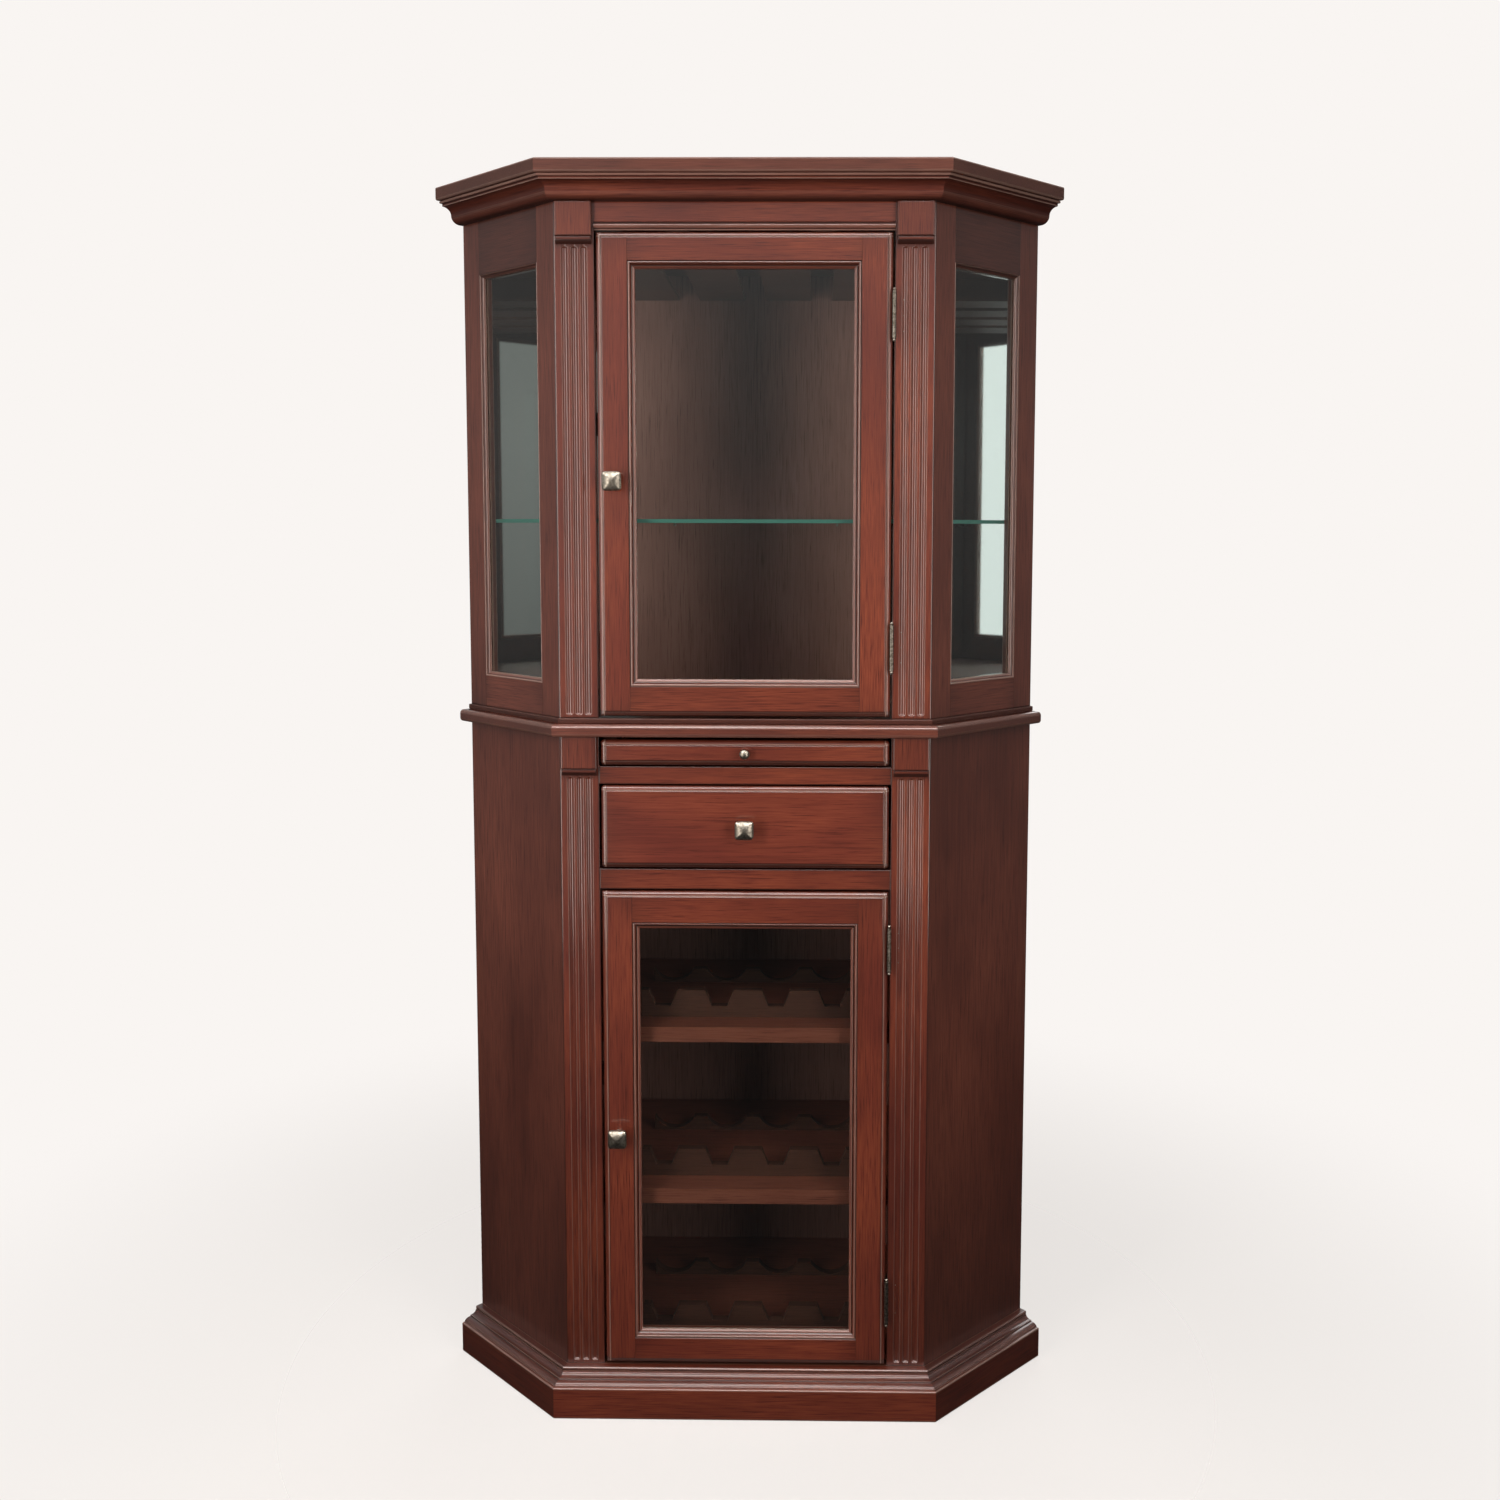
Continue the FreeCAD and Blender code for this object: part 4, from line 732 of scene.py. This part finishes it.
blocked = soft_rim(block_edge)
turned_in = lower(rim(neck_shares * (neck_height, neck_turn_in)), neck_turn_shade)
capital_parts = []
for over in ("waist_board", "crown_moulding"):
    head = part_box(over)[0].z
    foot = head - capital_height
    for middle in (stile_middle, -stile_middle):
        half = capital_width / 2
        block = board_part("front", (middle - half, middle + half), (foot, head), capital_reach, 0,
                           [blocked, blocked, lower(blocked), blocked])
        half -= neck_inset
        neck = board_part("front", (middle - half, middle + half), (foot - neck_height, foot), neck_reach, 0,
                          [eased, eased, turned_in, eased], upright=False)
        capital_parts += [shaded(block, block_shade), shaded(neck, neck_shade)]
make_piece("capital_blocks", capital_parts, mahogany, "capitals")

# Rails of the front frame: plain boards of the stiles' wood, jointed between them, one under the drawer
# and one over it.
rail_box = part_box("lower_rails")
drawer_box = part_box("drawer_front")
reveal = 0.0025
rail_rises = ((rail_box[0].z, drawer_box[0].z - reveal), (drawer_box[1].z + reveal, rail_box[1].z))
rails = [board_part("front", (-opening_half, opening_half), rise, 0, -frame_thickness,
                    [ended, ended, eased, eased], upright=False) for rise in rail_rises]
make_piece("front_rails", rails, mahogany, "lower_rails")

# Lower sides: plain stained panels with upright grain, mitred to the front stiles, in the darker copy of
# the stain that paints shade, and with painted shade growing darker towards the floor.
side_thickness = 0.018
panel_foot = 0.45
panel_foot_share = 0.5
side_rise = (side_low.z, side_high.z)
for side_name in ("right", "left"):
    part = board_part(side_name, (0, side_length), side_rise, 0, -side_thickness,
                      [arris, eased, ended, ended], mitre=(mitre_slope, 0),
                      lines=((), np.linspace(*side_rise, 17)))
    part = darkened(part, side_low.z, panel_foot, panel_foot_share)
    make_piece("lower_panel_" + side_name, [part], shaded_side_mahogany, "lower_side_" + side_name)

# Waist: a board with a rounded front edge that ends the lower part, and a thin board with thinner lacquer
# over it that the upper part stands on.
waist_under = 0.0060
waist_over = 0.0065
waist_shade = 0.2
floor_edge = 0.0016
floor_shade = 0.7
rear_share = 0.12


def slab_part(profile):
    """Six-sided slab whose front and sides follow a profile of (out, height) points, its sides darkened by
    painted shade. Its rear edges move in by a small share of what the profile does, so that they are eased
    too."""
    rub_and_highlight, glaze_and_shade = wear_and_light(profile, False)
    out, height = profile[:, 0], profile[:, 1]
    rear = rear_share * (out - out.max())
    front_end = np.column_stack([front_half + out * mitre_slope, front_y - out])
    side_start = on_face("right", joint_line - out * mitre_slope, out, 0)[:, :2]
    side_end = on_face("right", side_length + rear, out, 0)[:, :2]
    back_line = rear_y + rear
    back_end = np.column_stack([side_end[:, 0] - (back_line - side_end[:, 1]), back_line])
    right = np.stack([front_end, side_start, side_end, back_end], axis=1)
    ring = np.concatenate([right, right[:, ::-1] * (-1, 1)], axis=1)
    rise = np.broadcast_to(height[:, None], ring.shape[:2])
    points = np.concatenate([ring, rise[..., None]], axis=-1).reshape(-1, 3)
    front_only = np.array([1, 1, 1, 0, 0, 1, 1, 1])
    beside_only = np.array([0, 1, 1, 0, 0, 1, 1, 0])
    return {"points": points, **tube(len(profile), ring.shape[1]), "grain": grain_at(*points.T),
            "rub_and_highlight": (rub_and_highlight[:, None] * front_only).ravel(),
            "glaze_and_shade": (1 - (1 - glaze_and_shade[:, None] * front_only) * (1 - side_shade * beside_only)).ravel()}


def nosed(node, under, over):
    """Edge profile of a node's board: from a little way in on its underside, round an edge below and one
    above, to as far in on its top."""
    low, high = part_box(node)
    reach = front_y - low.y
    inner = reach - max(under, over) - 3 * mark_reach
    return np.concatenate([
        [(inner, low.z), (reach - under - mark_reach, low.z)],
        arc(reach - under, low.z + under, under, under, -90, 0),
        [(reach, low.z + under + mark_reach / 4), (reach, high.z - over - mark_reach / 4)],
        arc(reach - over, high.z - over, over, over, 0, 90),
        [(reach - over - mark_reach, high.z), (inner, high.z)]])


# Painted shade on the waist board.
waist_part = shaded(slab_part(nosed("waist_board", waist_under, waist_over)), waist_shade)
make_piece("waist_slab", [waist_part], mahogany, "waist_board")
dull_mahogany = stained_wood("mahogany_stain_thin_lacquer", "451A14", "6A2C20", "94492F", 0.5, 0.2)
# Darker painted shade on the thin board, which lies in the shade under the upper door, with its rubbed edges
# and highlights cut back.
floor_part = shaded(slab_part(nosed("upper_floor", floor_edge, floor_edge)), floor_shade)
floor_part["rub_and_highlight"] *= lower_edge_highlight
make_piece("upper_floor_slab", [floor_part], dull_mahogany, "upper_floor")

# Glazed sides of the upper part: two stiles and two rails with a mitred sight moulding round the pane,
# which square stops hold from inside.
side_stile = 0.047
side_top_rail = 0.119
side_bottom_rail = 0.052
side_sight = 0.007
side_sight_depth = 0.008
side_glass_thickness = 0.003
side_top_shade = 0.5
side_bead_set = 0.0010
side_bead_radius = 0.0012
side_quirk_in = 0.0026
side_quirk_deep = 0.0030
side_toe_in = 0.0042
side_toe_up = 0.0046
fine_edge = 0.0002
stop_edge = 0.0008
butt_gap = 0.0003
butt_depth = 0.0004
butt_shade = 0.45
rail_share = 0.25
# Per side of a moulding (foot, end, head, start): share of rubbing with painted highlight, and of painted
# shade.
moulding_side_rub_and_highlight = (0.9, 0.7, 0.15, 0.7)
moulding_side_shades = (0.1, 0.1, 0.5, 0.1)


def butt_rim(gap, depth, shade):
    """Edge that butts against the next board: the face drops by the depth within the gap, and the glaze
    that ran into the joint fades out within two gaps."""
    return np.array([[0, depth, 0, shade], [gap, 0, 0, shade / 2], [2 * gap, 0, 0, 0], [3 * gap, 0, 0, 0]])


butt = butt_rim(butt_gap, butt_depth, butt_shade)
rail_butt = fading(butt, rail_share)


def frame_boards(face, span, rise, window, out, rims, ends, shades, mitre=(0, 0)):
    """Two stiles of a frame, then its rails under and over the window, between a front and a back. The rims
    are those of the frame's start, end, foot and head, and the ends those of the stiles' foot and head."""
    (start, end), (sill, lintel) = window
    parts = [board_part(face, (span[0], start), rise, *out, [rims[0], butt, *ends], mitre=mitre),
             board_part(face, (end, span[1]), rise, *out, [butt, rims[1], *ends])]
    for rail, edges, shade in (((rise[0], sill), (rims[2], butt), shades[0]),
                               ((lintel, rise[1]), (butt, rims[3]), shades[1])):
        part = board_part(face, (start, end), rail, *out, [rail_butt, rail_butt, *edges], upright=False)
        parts.append(shaded(part, shade))
    return parts


def frame_part(face, span, rise, loop):
    """Mitred moulding in a rectangle: a closed section of (inwards, out) points carried along each of the
    four sides. On one side a point goes from minus to plus the half length less its distance in, at minus
    the half height less that distance, and each next side is a quarter turn on. Each side is darkened by
    its share of painted shade, most on the head, which faces down, and its rubbed edges and painted
    highlights are scaled by how it faces the light."""
    rub_and_highlight, glaze_and_shade = wear_and_light(loop, True)
    inward, out = loop[:, 0], loop[:, 1]
    halves = ((span[1] - span[0]) / 2, (rise[1] - rise[0]) / 2)
    middle = ((span[1] + span[0]) / 2, (rise[1] + rise[0]) / 2)
    parts = []
    for side in range(4):
        run, fixed = halves if side % 2 == 0 else halves[::-1]
        travel = (2 * joint_shares(2 * run) - 1) * (run - inward)
        level = -(fixed - inward) + 0 * travel
        along, height = ((travel, level), (-level, travel), (-travel, -level), (level, -travel))[side]
        part = jointed(face, middle[0] + along, out, middle[1] + height, (travel, level, out),
                       moulding_side_rub_and_highlight[side] * rub_and_highlight, glaze_and_shade)
        parts.append(shaded(part, moulding_side_shades[side]))
    return parts


def square_stop(width, front, back):
    """Section of the stop that holds a pane from inside, in (inwards, out) points."""
    return softened(np.array([(0, back), (0, front), (width, front), (width, back)]), stop_edge)


side_span = (side_stile, side_length - side_stile)
frame_rise = (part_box("upper_floor")[1].z, stile_high.z)
side_window = (frame_rise[0] + side_bottom_rail, frame_rise[1] - side_top_rail)
for side_name in ("right", "left"):
    # The side frames' top rails, under the crown, carry painted shadow.
    parts = frame_boards(side_name, (0, side_length), frame_rise, (side_span, side_window),
                         (0, -frame_thickness), (arris, eased, eased, ended), (ended, ended),
                         (0, side_top_shade), (mitre_slope, 0))
    make_piece("side_frame_members_" + side_name, parts, shaded_side_mahogany, "side_frame_" + side_name)
side_bead = softened(np.concatenate([
    [(0, -side_sight_depth), (0, -side_bead_set)],
    arc(side_bead_radius, -side_bead_radius, side_bead_radius, side_bead_radius, 150, 20, 5),
    [(side_quirk_in, -side_quirk_deep)],
    arc(side_quirk_in, -side_sight_depth, side_toe_in, side_toe_up, 80, 0, 6)]), fine_edge)
side_stop = square_stop(side_sight, -side_sight_depth - side_glass_thickness, -frame_thickness)
side_mouldings = [part for side_name in ("right", "left") for loop in (side_bead, side_stop)
                  for part in frame_part(side_name, side_span, side_window, loop)]
make_piece("side_sight_mouldings", side_mouldings, shaded_side_mahogany, "side_glass_mouldings")

# Frieze: a rail over the upper door with a half-round bead worked along its foot, and painted shadow
# under the crown.
frieze_low, frieze_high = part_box("frieze_rail")
frieze_foot, frieze_top = frieze_low.z, frieze_high.z
bead_high = 0.0066
bead_reach = 0.003
quirk_high = 0.0028
quirk_deep = 0.0040
quirk_edge = 0.0004
frieze_shadow = 0.007
frieze_shadow_share = 0.8
bead_foot = frieze_foot + quirk_high
bead_top = bead_foot + bead_high
frieze_loop = softened(np.concatenate([
    [(-frame_thickness, frieze_foot), (-quirk_deep, frieze_foot), (-quirk_deep, bead_foot), (0, bead_foot)],
    arc(0, bead_foot + bead_high / 2, bead_reach, bead_high / 2, -80, 80, 9),
    [(0, bead_top), (-quirk_deep, bead_top), (-quirk_deep, bead_top + quirk_high), (0, bead_top + quirk_high),
     (0, frieze_top - frieze_shadow), (0, frieze_top), (-frame_thickness, frieze_top)]]), quirk_edge)
frieze_part = darkened(run_part("front", frieze_loop, -opening_half, opening_half), frieze_top,
                       -frieze_shadow, frieze_shadow_share)
# Rubbed edges and painted highlights are kept only below the top of the bead.
frieze_part["rub_and_highlight"] *= frieze_part["points"][:, 2] < bead_top
make_piece("frieze", [frieze_part], mahogany, "frieze_rail")

# Crown: a round that turns into a hollow, and a small bead under the top board, mitred round the head
# of the body. It carries painted shade all over, and painted shadow at its foot and in the hollow.
crown_low, crown_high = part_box("crown_moulding")
crown_foot, crown_top = crown_low.z, crown_high.z
ogee_start = 0.0060
ogee_reach = 0.0385
ogee_height = 0.026
cap_reach = 0.0440
cap_height = 0.0040
crown_shade = 0.1
crown_shadow = 0.009
crown_shadow_share = 0.95
hollow_shadow = 0.013
hollow_shadow_share = 0.75
ogee_top = crown_foot + ogee_height
half_out = (ogee_reach - ogee_start) / 2
half_up = ogee_height / 2
half_cap = cap_height / 2
crown_loop = softened(np.concatenate([
    [(0, crown_foot), (ogee_start, crown_foot)],
    arc(ogee_start, crown_foot + half_up, half_out, half_up, -80, 0, 9)[:-1],
    arc(ogee_reach, crown_foot + half_up, half_out, half_up, 180, 95, 9),
    [(ogee_reach, ogee_top), (ogee_reach, crown_top - cap_height)],
    arc(cap_reach - half_cap, crown_top - half_cap, half_cap, half_cap, -85, 85, 9),
    [(0, crown_top)]]), moulding_edge)
crown_parts = []
for part in around(crown_loop):
    part = darkened(shaded(part, crown_shade), crown_foot, crown_shadow, crown_shadow_share)
    crown_parts.append(darkened(part, ogee_top, -hollow_shadow, hollow_shadow_share))
make_piece("crown", crown_parts, dull_mahogany, "crown_moulding")

# Top board: a solid slab with eased edges that lies over the crown, fixed from below. Its lacquer is thin,
# as on the crown and the board over the waist.
top_edge = 0.003
top_shade = 0.45
# Painted shade on the top board.
top_part = shaded(slab_part(nosed("top_board", top_edge, top_edge)), top_shade)
make_piece("top_slab", [top_part], dull_mahogany, "top_board")

# Doors: two stiles and two rails each, with a round lip below a step worked round the outside edge, and
# a mitred sight moulding round the pane with square stops behind it.
door_gap = 0.0035
door_thickness = 0.022
door_stile = 0.048
rail_widths = {"lower_door": (0.044, 0.050), "upper_door": (0.047, 0.0435)}
rail_shades = {"lower_door": (0, 0), "upper_door": (0.15, 0)}
lip_round = 0.0056
lip_step = 0.0024
lip_gain = 2.0
lip_end_share = 0.2
step_width = 0.0014
field_round = 0.0022
sight_width = 0.0115
sight_deep = 0.010
sight_quirk = 0.0010
sight_sink = 0.0024
sight_step = 0.0008
sight_bead = 0.0034
sight_bead_rise = 0.0018
sight_toe = 0.0074
sight_toe_sink = 0.0072
toe_step = 0.0012
toe_foot = 0.0004
toe_rise = 0.0034
pane_thickness = 0.004
stop_width = 0.0105
door_half = opening_half - door_gap
door_inner = door_half - door_stile
door_face = front_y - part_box("upper_door_frame")[0].y
door_back = door_face - door_thickness
lip_depth = lip_step + lip_round
step_end = lip_round + step_width
# The lip's rubbed share is raised by the gain as a painted highlight.
lipped = rim(np.concatenate([
    arc(lip_round, lip_depth, lip_round, lip_round, 180, 90, 9) * (1, -1) + (0, 2 * lip_depth),
    arc(step_end + field_round, lip_step, field_round, lip_step, 178, 90, 7) * (1, -1) + (0, 2 * lip_step)]),
    lip_gain)
lipped_end = fading(lipped, lip_end_share)
glass_out = door_face - sight_deep
sight_top = door_face - sight_sink
cove_top = sight_top - sight_step
bead_end = sight_quirk + sight_bead
sight_loop = softened(np.concatenate([
    [(0, glass_out), (0, sight_top), (sight_quirk, sight_top)],
    arc(sight_quirk + sight_bead / 2, sight_top, sight_bead / 2, sight_bead_rise, 170, 10, 7),
    [(bead_end, cove_top)],
    arc(sight_toe, cove_top, sight_toe - bead_end - fine_edge, sight_toe_sink - sight_sink - sight_step,
        190, 262, 6),
    [(sight_toe, door_face - sight_toe_sink + toe_step)],
    arc(sight_toe + fine_edge, glass_out + toe_foot, sight_width - sight_toe - fine_edge, toe_rise,
        80, 10, 6),
    [(sight_width, glass_out)]]), fine_edge)
stop_loop = square_stop(stop_width, glass_out - pane_thickness, door_back)
for door, (bottom_rail, top_rail) in rail_widths.items():
    door_low, door_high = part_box(door + "_frame")
    rise = (door_low.z, door_high.z)
    window = ((-door_inner, door_inner), (rise[0] + bottom_rail, rise[1] - top_rail))
    parts = frame_boards("front", (-door_half, door_half), rise, window, (door_face, door_back),
                         (lipped, lipped, lower(lipped), lipped), (lower(lipped_end), lipped_end),
                         rail_shades[door])
    make_piece(door + "_members", parts, mahogany, door + "_frame", door)
    parts = [part for loop in (sight_loop, stop_loop) for part in frame_part("front", *window, loop)]
    make_piece(door + "_sight_mouldings", parts, mahogany, door + "_glass_mouldings", door)

# Drawer and tray fronts: one board each with level grain, and the doors' step and lip worked round them
# with rounded corners, in a lighter copy of the stain that is painted light.
front_corner = 0.0045
drawer_thickness = 0.022
tray_thickness = 0.016
for node, body, thickness in (("drawer_front", "drawer", drawer_thickness),
                              ("tray_front", "serving_tray", tray_thickness)):
    low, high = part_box(node)
    part = board_part("front", (-door_half, door_half), (low.z, high.z), door_face, door_face - thickness,
                      [lipped_end, lipped_end, lower(lipped), lipped], upright=False, corner=front_corner)
    make_piece(node + "_board", [part], lit_front_mahogany, node, body)

# Insides: boards stained alike but left without lacquer, with the grain upright on the backs and level on
# shelves and racks; those that lie in shade take a darker copy of the stain, which is painted shade. The
# drawer box, the tray's panel, the decks and the base's cleats are poplar under a thin clear lacquer.
dull_upright = stained_wood("dull_inside_stain_upright", "68443E", "7E5850", "906A62", 0.5, 0.0,
                            (0, math.pi / 2, 0))
dull_level = stained_wood("dull_inside_stain_level", "5C2E24", "7A4234", "8E5646", 0.5, 0.0, (0, 0, 0))
dull_shaded = stained_wood("dull_inside_stain_shaded", "341E18", "462A22", "56372A", 0.5, 0.0, (0, 0, 0))
plain_wood = stained_wood("clear_lacquered_poplar", "A87F55", "C09A6E", "D2B28A", 0.5, 0.0, (0, 0, 0))


def finish(material, *nodes):
    """Give solid nodes that keep their shape a material."""
    for name in nodes:
        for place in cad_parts[name].material_slots:
            place.material = material


finish(dull_upright, "back_left", "back_right", "back_centre")
finish(dull_level, "floor_panel", "rack_shelves")
finish(dull_shaded, "base_board", "ceiling_panel", "neck_boards", "bottle_cradles", "shelf_cleats",
       "stemware_rails", "runners_and_kickers")
finish(plain_wood, "base_cleats", "decks", "drawer_sides", "drawer_back", "drawer_bottom", "tray_panel",
       "tray_rim")

# Glass: clear float panes, a clear shelf whose edges show green, and silvered mirrors on the oblique
# backs.
pane_tint = "F8FBF9"
edge_code = "4E8F84"
mirror_code = "E6EAE9"
glass_index = 1.5


def clear_glass(name, edge=None):
    """Thin glass: what lies behind it, and a mirror image by the angle of view, alike from both sides of its
    faces. Where edge is given, upright faces show that colour, as light that went through the sheet does."""
    material = new_material(name)
    tree = material.node_tree
    gloss = add(tree, "BsdfGlossy", {"Color": (1, 1, 1, 1), "Roughness": 0.01})
    through = add(tree, "BsdfTransparent", {"Color": linear(pane_tint)})
    side = add(tree, "NewGeometry")
    index = add(tree, "MapRange", {"Value": side.outputs["Backfacing"], "To Min": glass_index,
                                   "To Max": 1 / glass_index})
    share = add(tree, "Fresnel", {"IOR": index.outputs[0]})
    pane = add(tree, "MixShader", {0: share.outputs[0], 1: through.outputs[0], 2: gloss.outputs[0]})
    if edge:
        solid = add(tree, "BsdfPrincipled", {"Base Color": linear(edge), "Roughness": 0.15,
                                             "Transmission Weight": 0.3})
        split = add(tree, "SeparateXYZ", {0: side.outputs["True Normal"]})
        flat = add(tree, "Math", {0: split.outputs["Z"]}, operation="ABSOLUTE")
        level = add(tree, "Math", {0: flat.outputs[0], 1: 0.5}, operation="GREATER_THAN")
        pane = add(tree, "MixShader", {0: level.outputs[0], 1: solid.outputs[0], 2: pane.outputs[0]})
    add(tree, "OutputMaterial", {"Surface": pane.outputs[0]})
    return material


pane_glass = clear_glass("clear_float_glass")
shelf_glass = clear_glass("green_edged_shelf_glass", edge_code)
silvered = new_material("silvered_mirror_glass")
silver = add(silvered.node_tree, "BsdfPrincipled", {"Base Color": linear(mirror_code), "Metallic": 1.0,
                                                    "Roughness": 0.03})
add(silvered.node_tree, "OutputMaterial", {"Surface": silver.outputs[0]})
finish(pane_glass, "upper_door_glass", "lower_door_glass", "side_glass")
finish(shelf_glass, "glass_shelf")
finish(silvered, "mirrors")


# Metal: knobs of cast zinc plated in satin nickel, slightly cloudy, and hinges, screws, pins and strikes
# of steel in a duller plating. The catches are moulded brown plastic. The square knobs' faces are low
# cushions, which fall from the tip by a curve times the half width squared.
tarnish_code = "4C463C"
cloud_scale = 0.004
knob_tip = 0.0296
knob_curve = 22.0
knob_corners = 96


def plated(name, bright, dark, roughness):
    """Plated metal: two tones by a soft noise a few millimetres across."""
    material = new_material(name)
    tree = material.node_tree
    here = add(tree, "TexCoord")
    noise = add(tree, "TexNoise", {"Vector": here.outputs["Object"], "Scale": 1 / cloud_scale, "Detail": 3.0})
    tone = add(tree, "MapRange", {"Value": noise.outputs["Fac"], "From Min": 0.35, "From Max": 0.65})
    colour = add(tree, "Mix", {0: tone.outputs[0], 6: linear(dark), 7: linear(bright)}, data_type="RGBA")
    rough = add(tree, "MapRange", {"Value": noise.outputs["Fac"], "To Min": roughness + 0.1,
                                   "To Max": roughness - 0.08})
    metal = add(tree, "BsdfPrincipled", {"Base Color": colour.outputs[2], "Metallic": 1.0,
                                         "Roughness": rough.outputs[0]})
    add(tree, "OutputMaterial", {"Surface": metal.outputs[0]})
    return material


satin_nickel = plated("satin_nickel_plating", "938D82", "6A645A", 0.36)
hinge_plating = plated("aged_nickel_hinge_plating", "8A857C", tarnish_code, 0.35)
catch_plastic = new_material("moulded_brown_catch_plastic")
brown = add(catch_plastic.node_tree, "BsdfPrincipled", {"Base Color": linear("3B2A22"), "Roughness": 0.5})
add(catch_plastic.node_tree, "OutputMaterial", {"Surface": brown.outputs[0]})
finish(hinge_plating, "fixed_hinge_halves", "hinge_screws", "upper_door_hinge_leaves",
       "lower_door_hinge_leaves", "upper_door_strike", "lower_door_strike", "shelf_pins")
finish(catch_plastic, "door_catches")


def knob_part(along, height, front, rings):
    """Knob from rings of (out, half width, power): at an angle, the sizes of its cosine and sine are raised
    to the power and added, and the radius is the half width divided by that root of the sum. A ring is a
    circle at a power of 2 and comes close to a square at 12."""
    rings = np.array(rings)
    turn = np.linspace(0, 2 * np.pi, knob_corners, endpoint=False)
    out, half, power = (rings[:, column, None] for column in range(3))
    radius = half / (np.abs(np.cos(turn)) ** power + np.abs(np.sin(turn)) ** power) ** (1 / power)
    points = on_face("front", along + radius * np.cos(turn), front + out + 0 * radius,
                     height + radius * np.sin(turn))
    zero = np.zeros(len(points))
    return {"points": points, **tube(len(rings), len(turn)), "grain": points, "rub_and_highlight": zero, "glaze_and_shade": zero}


cushion = [(knob_tip - knob_curve * half ** 2, half, 7)
           for half in (0.0132, 0.0118, 0.0100, 0.0080, 0.0060, 0.0040, 0.0020, 0.0006)]
square_rings = [(0, 0.0078, 2), (0.0016, 0.0080, 2), (0.0025, 0.0070, 2), (0.0032, 0.0050, 2),
                (0.0060, 0.0043, 2), (0.0110, 0.0045, 2), (0.0140, 0.0070, 3), (0.0158, 0.0108, 4),
                (0.0178, 0.0138, 5), (0.0190, 0.0147, 6), (0.0204, 0.0150, 6), (0.0222, 0.0150, 6),
                (0.0238, 0.0148, 6.5), (0.0250, 0.0141, 7)] + cushion
round_rings = [(0, 0.0053, 2), (0.0016, 0.0055, 2), (0.0025, 0.0048, 2), (0.0034, 0.0036, 2),
               (0.0060, 0.0034, 2), (0.0074, 0.0050, 2), (0.0088, 0.0068, 2), (0.0104, 0.0078, 2),
               (0.0122, 0.0080, 2), (0.0140, 0.0074, 2), (0.0154, 0.0060, 2), (0.0164, 0.0040, 2),
               (0.0169, 0.0018, 2), (0.0170, 0.0004, 2)]
for node, body, rings in (("upper_door_knob", "upper_door", square_rings),
                          ("lower_door_knob", "lower_door", square_rings),
                          ("drawer_knob", "drawer", square_rings),
                          ("tray_knob", "serving_tray", round_rings)):
    knob_low, knob_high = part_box(node)
    part = knob_part((knob_low.x + knob_high.x) / 2, (knob_low.z + knob_high.z) / 2, door_face, rings)
    make_piece(node + "_casting", [part], satin_nickel, node, body, 60)
